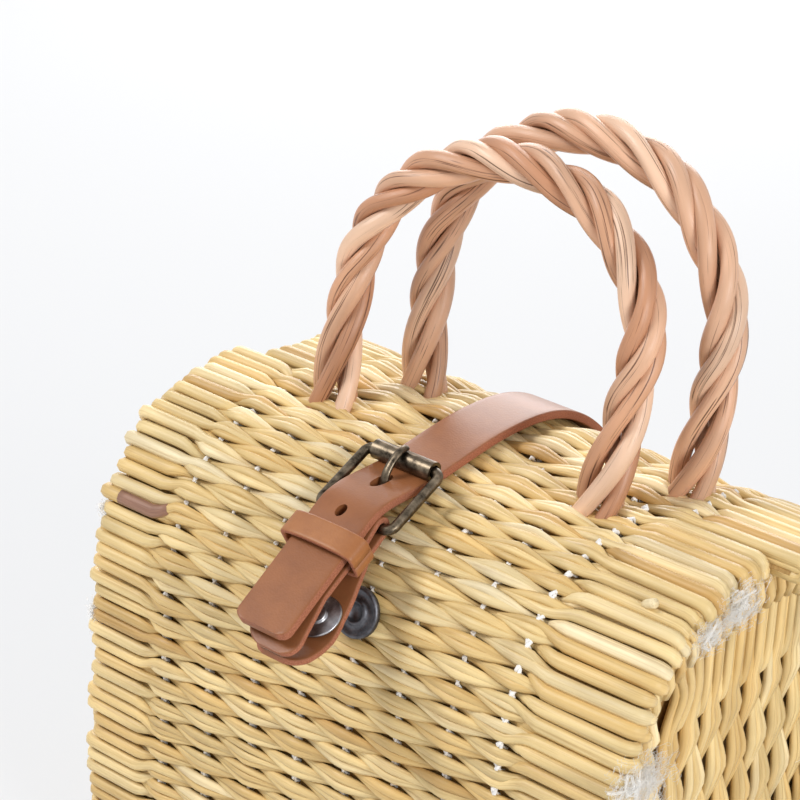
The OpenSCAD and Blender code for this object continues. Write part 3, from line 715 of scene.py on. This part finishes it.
def handle(name, x0, y0, arch, lean, nodes):
    store = new_store()
    t = np.linspace(0, 1, 150)
    leg = np.minimum(np.minimum(t, 1 - t) / leg_share, 1)
    turn = math.pi * np.clip((t - leg_share) / (1 - 2 * leg_share), 0, 1)
    widening = (handle_half - handle_foot) * np.sin(leg * math.pi / 2)
    half = np.where(leg < 1, handle_foot + widening, handle_half)
    x = np.where(leg < 1, np.sign(t - 0.5) * half, -handle_half * np.cos(turn))
    up = np.where(leg < 1, leg_h * leg - sink * (1 - leg) ** 3, leg_h + arch * np.sin(turn))
    tangent = unit(np.gradient(np.stack([x, up], axis=-1), axis=0))
    spread = splay * np.maximum(0, 1 - leg) ** 3
    for i in range(rods):
        a = np.radians(360 * i / rods + 45 - rod_twist * (t - 0.5)) + wobble * np.sin(11 * t + 2 * i)
        r = strand_r + spread
        rod_x = x0 + x - tangent[:, 1] * r * np.cos(a)
        rod_z = basket_h + foot_rise + up + tangent[:, 0] * r * np.cos(a)
        rod_y = y0 + strand_r * np.sin(a) + lean * up / (leg_h + arch)
        radius = rod_r * (1 + 0.06 * np.sin(17 * t + 2 * i) + 0.04 * np.sin(53 * t + i))
        path = np.stack([rod_x, rod_y, rod_z], axis=-1)
        add_tube(store, path, radius, (0, 1, 0), sides=14, tint=rng.uniform(0.1, 1), flat=0.94)
    return make_piece(name, store, willow, "bag", nodes)


for word, x0, y0, arch, lean in (("front", -2.5, -9.5, 48, 27), ("back", 12.5, 20, 57, 17)):
    names = [f"{word}_handle_rod_{i}" for i in range(1, rods + 1)]
    handle(word + "_willow_handle", x0, y0, arch, lean, names)

# %% [markdown]
# ## Strips of leather
# Strap, tab and keeper are strips cut from a hide. A box with a bevel could be bent along a curve. Here a
# rounded outline is carried along a line of points, which keeps the thickness true in tight folds. The ends
# are rounded by narrowing the strip there, and its long sides are marked as cut edges.

# %% Leather sizes
strap_x = -4
strap_w = 21.5
strap_t = 3.2
strap_angle = 29
tab_t = 2.2
keeper_t = 1.8
wire_d = 3.4
roller_d = 6.6
frame_l = 27
frame_angle = 24
ridge = 1.5
hole_sides = 28
print("strap", strap_w, "mm wide and", strap_t, "mm thick")


# %% [markdown]
# ## Tools for leather
# A line is smoothed, a strip is laid along it, and holes are punched through. Leaving out faces would show a
# hole without walls. A boolean cut gives it real ones, and the cutter is removed afterwards.

# %% Strips and holes
def off_mat(s, h):
    return on_mat(0, s, h)[..., 1:]


def smooth_line(points, spacing, passes):
    points = np.asarray(points, float)
    length = run_length(points)
    even = np.linspace(0, length[-1], round(length[-1] / spacing) + 1)
    line = np.stack([np.interp(even, length, points[:, i]) for i in (0, 1)], axis=-1)
    for _ in range(passes):
        line[1:-1] = (line[:-2] + 2 * line[1:-1] + line[2:]) / 4
    return line


def rounded_half(line, width, round_end):
    """Half width along a strip whose two ends are rounded."""
    length = run_length(line)
    near = np.clip(round_end - np.minimum(length, length[-1] - length), 0, round_end)
    return width / 2 - round_end + np.sqrt(round_end ** 2 - 0.98 * near ** 2)


def add_strip(store, line, wide, normal, half, thick, tint=0.5):
    """A strip of leather along a line, with rounded long edges that are marked as cut."""
    wide = np.broadcast_to(wide, line.shape)
    half = np.broadcast_to(half, len(line))
    rim = min(0.7, thick * 0.35)
    corner = np.radians([0, 30, 60, 90])
    rings = []
    edges = []
    for sx, sz, turns in ((1, 1, corner), (-1, 1, corner[::-1]), (-1, -1, corner), (1, -1, corner[::-1])):
        for c in turns:
            reach = sx * (half + rim * (math.cos(c) - 1))
            height = sz * (thick / 2 - rim + rim * math.sin(c))
            rings.append(line + wide * reach[:, None] + normal * height)
            edges.append(np.full(len(line), 1.0 if c < 0.6 else 0.0))
        for share in np.linspace(sx, -sx, 12)[1:-1] if sx == sz else ():
            rings.append(line + wide * (share * (half - rim))[:, None] + normal * sz * thick / 2)
            edges.append(np.zeros(len(line)))
    rings = np.stack(rings, axis=1)
    add_grid(store, rings, rings, tint, np.stack(edges, axis=1))


def add_band(store, line, x0, width, thick, round_end):
    """A strip across X that follows a line in the Y-Z plane."""
    tangent = unit(np.gradient(line, axis=0))
    normal = np.stack([0 * line[:, 0], -tangent[:, 1], tangent[:, 0]], axis=-1)
    spots = np.stack([np.broadcast_to(x0, len(line)), line[:, 0], line[:, 1]], axis=-1)
    add_strip(store, spots, (1, 0, 0), normal, rounded_half(line, width, round_end), thick)


def cut_through(piece, *cutters):
    """Cuts the cutters out of a piece's mesh and removes them."""
    for cutter in cutters:
        hole = piece.modifiers.new(cutter.name, "BOOLEAN")
        hole.object = cutter
        hole.solver = "EXACT"
    bpy.context.view_layer.update()
    cut = bpy.data.meshes.new_from_object(piece.evaluated_get(bpy.context.evaluated_depsgraph_get()))
    cut.set_sharp_from_angle(angle=rad(40))
    piece.modifiers.clear()
    piece.data = cut
    for cutter in cutters:
        bpy.data.objects.remove(cutter)


def oval_cutter(name, centre, along, normal, long, wide, depth):
    """An upright oval prism, centre in millimetres, with its long axis along a direction."""
    bpy.ops.mesh.primitive_cylinder_add(vertices=hole_sides, radius=0.5, depth=1)
    cutter = bpy.context.object
    cutter.name = name
    across = Vector(np.cross(along, normal))
    axes = Matrix((across * wide, Vector(along) * long, Vector(normal) * depth)).transposed()
    cutter.matrix_world = Matrix.Translation(Vector(centre) * MM) @ (axes * MM).to_4x4()
    return cutter


# %% [markdown]
# ## The strap
# The strap comes from the back over the top, goes under the roller and lies on the folded tab with its free
# end. Heights above the mat are stacked up from the thickness of each layer. The corners of that line could
# be bends with a radius, but repeated smoothing gives the easy curves that stiff leather takes.

# %% Strap
tab_under = ridge + 2 * fit + keeper_t
tab_middle = tab_under + tab_t + fit / 2
tab_top = tab_under + 2 * tab_t + fit
fold_r = wire_d / 2 + fit + tab_t
flat_from = 2 * fold_r
strap_on_mat = ridge + fit + strap_t / 2
strap_over_tab = tab_top + fit + strap_t / 2
strap_over_fold = tab_middle + fold_r + fit + strap_t / 2
strap_tip = 50
strap_clear = 1.0
tip_clear = 2.0
strap_left = -0.5
strap_skew = 0.065
strap_corner = 3.4
strap_tail = 125
strap_lift = 1
along_strap = np.array([math.cos(rad(strap_angle)), math.sin(rad(strap_angle))])
out_of_strap = np.array([-math.sin(rad(strap_angle)), math.cos(rad(strap_angle))])
roller_slope = 15
lift_slope = 315
roller_s = at_slope(roller_slope)
lift_span = roller_s + mat_length - at_slope(lift_slope)
roller_axis = off_mat(roller_s, strap_on_mat + strap_t / 2 + fit + roller_d / 2)
heel = roller_axis - frame_l * np.array([math.cos(rad(frame_angle)), math.sin(rad(frame_angle))])


def strap_point(u, n):
    return heel - u * along_strap + (n - tab_middle) * out_of_strap


def strap_height(from_roller):
    return strap_on_mat + strap_lift * np.sin(math.pi * np.minimum(1, from_roller / lift_span)) ** 2


tail = np.linspace(strap_tail, 0, 60)
head = np.linspace(0, roller_s, 20)[1:]
strap_line = np.concatenate([
    off_mat(mat_length - tail, strap_height(roller_s + tail)),
    off_mat(head, strap_height(roller_s - head)),
    [
        strap_point(-4, strap_over_fold - 0.4),
        strap_point(0, strap_over_fold + 0.6),
        strap_point(flat_from, strap_over_tab + strap_clear),
        strap_point(strap_tip, strap_over_tab + tip_clear),
    ],
])
strap_store = new_store()
strap_path = smooth_line(strap_line, 0.8, 150)
strap_place = strap_x - strap_left + strap_skew * np.maximum(0, (heel - strap_path) @ along_strap)
add_band(strap_store, strap_path, strap_place, strap_w, strap_t, strap_corner)
strap = make_piece("leather_strap", strap_store, leather, "bag", ["strap"])

# %% [markdown]
# ## Holes in the strap
# One oval hole lets the tongue through, and a spare one lies further down. Both are punched at right angles
# to the leather where they are, so each cutter is turned to the slope of its own stretch.

# %% Holes in the strap
along_frame = np.array([0, math.cos(rad(frame_angle)), math.sin(rad(frame_angle))])
out_of_frame = np.array([0, -math.sin(rad(frame_angle)), math.cos(rad(frame_angle))])
down_strap = np.array([0, -along_strap[0], -along_strap[1]])
strap_normal = np.array([0, out_of_strap[0], out_of_strap[1]])
heel_spot = np.array([strap_x, heel[0], heel[1]])
spare = np.array([strap_x, *strap_point(3, strap_over_fold)])
spare_l = 5
spare_w = 3.5
slot_y = 15.2
slot_l = 9.5
slot_w = 4.4
slot_spot = heel_spot + slot_y * along_frame
spare_hole = oval_cutter("spare_hole", spare, down_strap, strap_normal, spare_l, spare_w, 14)
tongue_hole = oval_cutter("tongue_hole", slot_spot, along_frame, out_of_frame, slot_l, slot_w, 16)
cut_through(strap, spare_hole, tongue_hole)
print("strap has", len(strap.data.polygons), "faces with its two holes")

# %% [markdown]
# ## The folded tab
# The tab is a strip folded round the heel bar of the buckle. Its upper leaf lies under the strap, and its
# lower leaf bows down and carries half of the snap. It could be two strips, but one line for both keeps the
# fold whole. The small leather tab on the right panel is a plain strip.

# %% Folded tab and side tab
tab_l = 52.5
around = np.linspace(-math.pi / 2, math.pi / 2, 15)
fold_mid = wire_d / 2 + fit + tab_t / 2
keeper_end = 34
lower_leaf = [(tab_l, -1.6), (48, -3.8), (43, -6.4), (37, -8.2), (31, -7.8), (25, -6.2), (18, -4.2)]
lower_leaf.append((flat_from, -2.4))
upper_leaf = [(flat_from, 0), (keeper_end, 0), (45, 0), (tab_l, -0.6)]
tab_line = np.concatenate([
    [strap_point(u, tab_under + tab_t / 2 + drop) for u, drop in lower_leaf],
    [strap_point(-fold_mid * math.cos(a), tab_middle + fold_mid * math.sin(a)) for a in around],
    [strap_point(u, tab_top - tab_t / 2 + drop) for u, drop in upper_leaf],
])
tab_store = new_store()
tab_path = smooth_line(tab_line, 0.7, 5)
tab_w = 20.8
tab_round = 6.5
tab_right = 1.5
tab_turn = 0.025
tab_free = 30
tab_skew = 0.2
leaf_bow = 3.4


def tab_place(u, below):
    """Middle of the tab across X: it turns a little to the right, and its lower leaf bows out further."""
    turned = tab_turn * np.maximum(0, u) + tab_skew * np.maximum(0, u - tab_free)
    bowed = leaf_bow * np.sin(math.pi * np.clip((u - flat_from) / (tab_l - flat_from), 0, 1))
    return strap_x + tab_right + turned + bowed * below


tab_u = (heel - tab_path) @ along_strap
is_below = (tab_path - heel) @ out_of_strap < 0
add_band(tab_store, tab_path, tab_place(tab_u, is_below), tab_w, tab_t, tab_round)
tab = make_piece("folded_buckle_tab", tab_store, leather, "bag", ["buckle_tab"])

notch_w = 4.6
notch = oval_cutter("tongue_notch", heel_spot, down_strap, strap_normal, 2 * flat_from, notch_w, 20)
cut_through(tab, notch)

side_w = 6.6
side_t = 2.4
side_l = 30
side_top = 78
side_y = -22
side_out = 1.9
side_round = 3.2
side_store = new_store()
side_z = np.linspace(side_top - side_l, side_top, 60)
side_x = panel_x + panel_t / 2 + side_out
side_line = np.stack([0 * side_z + side_x, 0 * side_z + side_y, side_z], axis=-1)
side_half = rounded_half(side_line, side_w, side_round)
side_normal = np.broadcast_to([1, 0, 0], side_line.shape)
add_strip(side_store, side_line, (0, 1, 0), side_normal, side_half, side_t)
make_piece("side_leather_tab", side_store, leather, "bag", ["side_tab"])

# %% [markdown]
# ## The keeper
# The keeper is a loop of thin leather round the strap and the upper leaf of the tab. A torus could be pressed
# into shape, but a strip along a rounded square has the flat sides of leather. It slides, so it rides on its
# own body, and the tab stays straight as far as the keeper can go.

# %% Keeper
keeper_u = flat_from + 5.5
keeper_half = 4.4
keeper_slack = 2.1
keeper_bulge = 0.7
turn = np.linspace(0, 2 * math.pi, 73)
square = 0.32
keeper_low = tab_top - tab_t - fit - keeper_t / 2
keeper_high = strap_over_tab + strap_t / 2 + tip_clear + fit + keeper_t / 2
keeper_x = strap_x + 1.5
keeper_wide = strap_w / 2 + fit + keeper_t / 2 + keeper_slack
reach_x = keeper_wide * np.sign(np.cos(turn)) * np.abs(np.cos(turn)) ** square
reach_n = np.sign(np.sin(turn)) * np.abs(np.sin(turn)) ** square
bulge = keeper_bulge * np.clip(np.sin(turn), 0, 1) ** 2 * np.cos(reach_x / strap_w * math.pi * 0.9)
loop_n = (keeper_low + keeper_high) / 2 + (keeper_high - keeper_low) / 2 * reach_n + bulge
loop_yz = np.stack([strap_point(keeper_u, n) for n in loop_n])
loop_line = np.stack([keeper_x + reach_x, loop_yz[:, 0], loop_yz[:, 1]], axis=-1)
loop_normal = unit(np.cross(np.gradient(loop_line, axis=0), down_strap))
keeper_store = new_store()
add_strip(keeper_store, loop_line, down_strap, loop_normal, keeper_half, keeper_t)
# The keeper's lighter leather is painted sheen on the raised loop.
make_piece("leather_keeper", keeper_store, keeper_painted_sheen_leather, "keeper", ["keeper_loop"])

# %% [markdown]
# ## The tongue
# The tongue is a flattened prong of wire with an eye round the heel bar. A straight rod would cut through the
# strap, so this is a tube along a line that bows down through the strap's hole and comes up to the roller.

# %% Tongue
tongue_w = 3.4
tongue_t = 2.3
roller_top = roller_d / 2 + fit + tongue_t / 2


def in_frame(y, z):
    return heel_spot + np.multiply.outer(y, along_frame) + np.multiply.outer(z, out_of_frame)


bow_y = [1.4, 6, 10.5, 13.4, 15.6, 18, 21, 24, frame_l, frame_l + 2.6]
bow_z = [0.2, -1.8, -2.9, -2.5, 0, 2.8, 4.2, 4.9, roller_top + 0.1, roller_top - 1.2]
prong_path = smooth_line(np.stack([bow_y, bow_z], axis=-1), 0.6, 6)
prong_y, prong_z = prong_path.T
prong_r = tongue_w / 2 * (1 - 0.2 * ease((prong_y - 8) / 20)) * np.where(prong_y > frame_l + 2.3, 0.6, 1)
prong = new_store()
add_tube(prong, in_frame(prong_y, prong_z), prong_r, (1, 0, 0), sides=16, flat=0.66)
eye = np.linspace(0, 2 * math.pi, 25)
eye_r = 2.75
eye_wire = 0.95
add_tube(prong, in_frame(eye_r * np.cos(eye), eye_r * np.sin(eye)), eye_wire, (1, 0, 0), sides=10)
make_piece("buckle_prong", prong, brass, "tongue", ["buckle_tongue"])


# %% [markdown]
# ## The snap
# The snap's two halves are pressed from sheet: a dark disc on the basket and a thin bright half on the tab.
# Their round profiles could be spun by a screw modifier. A ring of points for each step of the profile does
# the same and fits the stores used above.

# %% Snap
def lathe(name, profile, spot, axis, material, node):
    """Turns a profile of radius and height round an axis through a spot."""
    axis = np.array(axis)
    first = np.array([1.0, 0, 0])
    second = np.cross(axis, first)
    turn = np.linspace(0, 2 * math.pi, 48, endpoint=False)
    spoke = np.cos(turn)[:, None] * first + np.sin(turn)[:, None] * second
    rings = np.stack([spot + r * spoke + h * axis for r, h in profile])
    store = new_store()
    add_grid(store, rings, rings, 0.5, 0.0)
    return make_piece(name, store, material, "bag", [node])


disc = [(0.05, 0), (7.6, 0), (8.3, 0.2), (8.5, 0.7), (8.5, 1.7), (8.2, 2.3), (7.6, 2.5), (7.0, 2.3),
        (6.6, 1.9), (4.8, 1.7), (4.2, 2.3), (3.8, 2.8), (3.3, 2.8), (3.1, 2.4), (3.0, 1.0), (0.05, 0.9)]
cap = [(0.05, 0), (7.3, 0), (7.75, 0.25), (7.75, 0.75), (7.3, 1.0), (3.5, 1.0), (3.0, 1.3), (3.1, 1.8),
       (2.7, 2.1), (0.05, 2.1)]
snap_x = 6
snap_slope = 68
snap_up = 1.5
snap_spot = on_mat(snap_x, at_slope(snap_slope) - snap_up, ridge + fit)
snap_axis = (0, -math.sin(rad(snap_slope)), math.cos(rad(snap_slope)))
lathe("snap_disc", disc, snap_spot, snap_axis, snap_metal, "basket_snap")
cap_u = 33
cap_right = 2.6
cap_drop = 4.4
cap_spot = np.array([tab_place(cap_u, 1) + cap_right, *strap_point(cap_u, tab_under - cap_drop)])
lathe("snap_cap", cap, cap_spot, strap_normal, cap_metal, "tab_snap")

# %% [markdown]
# ## The sewing twine
# A soft three-ply cotton twine runs down each corner between panel and mat, in and out of the rushes, and its
# surface has worn fluffy. A particle system could give the fluff, but short thin tubes along the twine are
# meshes that the part keeps wherever it is used.

# %% Twine
twine_x = 101.0
twine_deep = mat_t + 2.4
twine_ply_r = 0.95
twine_twist_r = 0.85
twine_twist = 7.5
stitch = 19
stitch_sway = 1.3
stitch_dip = 1.2
hairs = 260
hair_l = 2.6
hair_drift = 1.6
hair_r = 0.07
hair_side = (0.3, 0.5, 0.8)
front_from = 62
back_to = 300
seam_runs = ((at_slope(front_from), at_slope(front_down)), (at_slope(back_up) - back_wall, at_slope(back_to)))
for side, word in ((-1, "left"), (1, "right")):
    store = new_store()
    for first, last in seam_runs:
        s = np.arange(first, last, 0.9)
        sway = stitch_sway * np.sin(2 * math.pi * s / stitch)
        h = -twine_deep + stitch_dip * np.cos(4 * math.pi * s / stitch)
        for ply in range(3):
            turn = 2 * math.pi * (s / twine_twist + ply / 3)
            path = on_mat(side * (twine_x + sway) + twine_twist_r * np.cos(turn), s,
                          h + twine_twist_r * np.sin(turn))
            path[:, 0] -= on_mat(0, s, 0)[:, 0]
            add_tube(store, path, twine_ply_r, (1, 0, 0), sides=6, tint=rng.uniform(0.3, 1))
        for _ in range(hairs):
            at = rng.integers(2, len(s) - 2)
            start = on_mat(side * (twine_x + sway[at]), s[at], h[at])
            start[0] -= on_mat(0, s[at], 0)[0]
            heading = rng.normal(0, 1, 3) * [0.9, 1, 1]
            drift = rng.normal(0, 1, 3) * hair_drift
            t = np.linspace(0, 1, 6)[:, None]
            hair = start + heading * hair_l * t + drift * t * t
            add_tube(store, hair, hair_r, hair_side, sides=3, tint=0.9)
    make_piece(word + "_cotton_seam", store, cotton, "bag", [word + "_seam_twine"])

# %% [markdown]
# ## Frayed cotton
# Where the twine has come loose it stands out in tufts: a few soft strands and many fine hairs in a cloud.
# Fog in a box would be cheaper, but it has no strands. Loose cotton lets light through, so its material is
# part translucent and part clear.

# %% Frayed cotton material
fluff_glow = 0.6
fluff_clear = 0.35
fluff, tree, surface = new_material("frayed_cotton")
surface.inputs["Base Color"].default_value = colour("#fdfcfa")
surface.inputs["Roughness"].default_value = 1.0
glow = add(tree, "ShaderNodeBsdfTranslucent", {"Color": colour("#fdfcfa")})
soft_mix = add(tree, "ShaderNodeMixShader", {0: fluff_glow},
               {1: surface.outputs["BSDF"], 2: glow.outputs["BSDF"]})
clear = add(tree, "ShaderNodeBsdfTransparent")
thin_mix = add(tree, "ShaderNodeMixShader", {0: fluff_clear},
               {1: soft_mix.outputs["Shader"], 2: clear.outputs["BSDF"]})
tree.links.new(thin_mix.outputs["Shader"], tree.nodes["Material Output"].inputs["Surface"])
print("loose cotton", fluff.name)

# %% [markdown]
# ## Tufts
# The tufts sit where the photo shows loose cotton: at the right front edge, round the eye in the panel and at
# the left edge. Strands are smoothed more than hairs, so they look soft, and the hairs look springy.

# %% Tufts
# Each tuft has a middle, its reach along X, Y and Z, and its numbers of strands and hairs.
knot_count = 6
strand_spread = 0.45
hair_spread = 0.5
hair_step = 0.16
strand_radii = (0.25, 0.5)
hair_radii = (0.04, 0.08)
furthest = 1.1
tufts = [((114, -36, 177), (3, 7, 5), 5, 260), ((114, -20, 180), (3, 10, 7), 6, 340),
         ((113.5, -70, 141), (3.5, 9, 8), 5, 300), ((110, -57, 134), (4, 11, 8), 5, 340),
         (on_mat(-110, 86, -0.5), (2, 2, 3), 3, 70), (on_mat(-110.5, 126, -0.5), (1.8, 1.8, 7), 3, 90)]
wisps = new_store()
for middle, reach, strands, fine in tufts:
    for i in range(strands + fine):
        soft = i < strands
        knots = rng.normal(0, strand_spread if soft else hair_spread, (knot_count, 3))
        if not soft:
            knots = knots[:1] + np.cumsum(rng.normal(0, hair_step, (knot_count, 3)), axis=0)
        t = np.linspace(0, knot_count - 1, 26 if soft else 11)
        line = np.stack([np.interp(t, range(knot_count), knots[:, a]) for a in range(3)], axis=-1)
        for _ in range(8 if soft else 2):
            line[1:-1] = (line[:-2] + 2 * line[1:-1] + line[2:]) / 4
        thick = rng.uniform(*strand_radii) if soft else rng.uniform(*hair_radii)
        path = np.array(middle) + np.clip(line, -furthest, furthest) * reach
        sides = 5 if soft else 3
        add_tube(wisps, path, thick, hair_side, sides=sides, tint=rng.uniform(0.6, 1))
make_piece("frayed_cotton", wisps, fluff, "bag")

# %% [markdown]
# ## White floor and sky
# The bag stands on white paper in a bright room. More light would whiten the paper and bleach the bag, so
# paper and sky give some white of their own, but only to rays from the camera and to mirror rays. The rest of
# the paper's look is plain paint, which keeps the shadow.

# %% Floor and sky
sky_light = 0.5
paper_white = 0.84
paper_glow = 0.75
scene = bpy.context.scene
scene.view_settings.view_transform = "Standard"
world = bpy.data.worlds.new("studio_sky")
scene.world = world
world.use_nodes = True
sky = world.node_tree.nodes["Background"]
sky.inputs["Color"].default_value = colour("#f4f6fa")
sky.inputs["Strength"].default_value = sky_light


def seen_directly(tree):
    """1 for rays from the camera and for mirror rays from metal, which both see the white backdrop."""
    rays = add(tree, "ShaderNodeLightPath")
    seen = add(tree, "ShaderNodeMath", {"operation": "MAXIMUM"},
               {0: rays.outputs["Is Camera Ray"], 1: rays.outputs["Is Glossy Ray"]})
    return seen.outputs["Value"]


white_sky = add(world.node_tree, "ShaderNodeBackground", {"Color": colour("#f9fafc"), "Strength": 1.0})
sky_choice = add(world.node_tree, "ShaderNodeMixShader", links={0: seen_directly(world.node_tree),
                                                                1: sky.outputs["Background"],
                                                                2: white_sky.outputs["Background"]})
world_output = world.node_tree.nodes["World Output"]
world.node_tree.links.new(sky_choice.outputs["Shader"], world_output.inputs["Surface"])

bpy.ops.mesh.primitive_plane_add(size=14, location=(0, 0, -0.0002))
floor = bpy.context.object
floor.name = "white_floor"
floor_material, tree, surface = new_material("white_paper")
surface.inputs["Base Color"].default_value = colour("#f2f2f2")
surface.inputs["Roughness"].default_value = 1.0
paper = add(tree, "ShaderNodeEmission", {"Color": colour("#f9fafc"), "Strength": paper_white})
paper_share = add(tree, "ShaderNodeMath", {"operation": "MULTIPLY", 1: paper_glow},
                  {0: seen_directly(tree)})
choice = add(tree, "ShaderNodeMixShader", links={0: paper_share.outputs["Value"],
                                                 1: surface.outputs["BSDF"], 2: paper.outputs["Emission"]})
tree.links.new(choice.outputs["Shader"], tree.nodes["Material Output"].inputs["Surface"])
floor.data.materials.append(floor_material)
print("stage", floor.name, "under", world.name)


# %% [markdown]
# ## Light and camera
# Broad lamps stand to the left in front, to the right and behind, as the sheen in the photo shows. Sun lamps
# would give hard shadows that a room doesn't have. The camera repeats the one that was fitted to the photo.

# %% Light and camera
def area_light(name, place, aim, size, power):
    lamp = bpy.data.lights.new(name, "AREA")
    lamp.shape = "DISK"
    lamp.size = size
    lamp.energy = power
    holder = bpy.data.objects.new(name, lamp)
    holder.location = place
    holder.rotation_euler = (Vector(aim) - Vector(place)).to_track_quat("-Z", "Y").to_euler()
    scene.collection.objects.link(holder)


area_light("window_left", (-0.7, -0.6, 1.1), (0, 0, 0.15), 0.5, 10)
area_light("window_right", (1.2, -0.35, 0.7), (0, 0, 0.12), 0.6, 11)
area_light("window_back", (-0.75, 1.1, 0.75), (0, 0, 0.18), 1.3, 18)

camera_az = rad(37.408)
camera_el = rad(26.633)
camera_roll = rad(3.002)
camera_far = 0.79957
camera_aim = Vector((-0.0075, -0.0025, 0.1827))
focal_px = 2408.87
axis_px = (461.96, 452.77)
image_px = 800
out = Vector((math.sin(camera_az) * math.cos(camera_el), -math.cos(camera_az) * math.cos(camera_el),
              math.sin(camera_el)))
flat_right = Vector((math.cos(camera_az), math.sin(camera_az), 0))
flat_up = out.cross(flat_right)
right = math.cos(camera_roll) * flat_right + math.sin(camera_roll) * flat_up
up = -math.sin(camera_roll) * flat_right + math.cos(camera_roll) * flat_up
lens = bpy.data.cameras.new("photo_camera")
lens.sensor_width = 36
lens.lens = focal_px / image_px * lens.sensor_width
lens.shift_x = -(axis_px[0] - image_px / 2) / image_px
lens.shift_y = (axis_px[1] - image_px / 2) / image_px
camera = bpy.data.objects.new("photo_camera", lens)
turned = Matrix((right, up, out)).transposed().to_4x4()
camera.matrix_world = Matrix.Translation(camera_aim + camera_far * out) @ turned
scene.collection.objects.link(camera)
scene.camera = camera
scene.render.resolution_x = image_px
scene.render.resolution_y = image_px
print("lens", round(lens.lens, 1), "mm at", camera_far, "m")

# %% [markdown]
# ## Finish
# The metal solids keep their true shapes and only take new surfaces.

# %% Finish
for name in ("buckle_frame", "buckle_roller", "strap_rivets"):
    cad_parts[name].data.materials.clear()
    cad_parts[name].data.materials.append(brass)
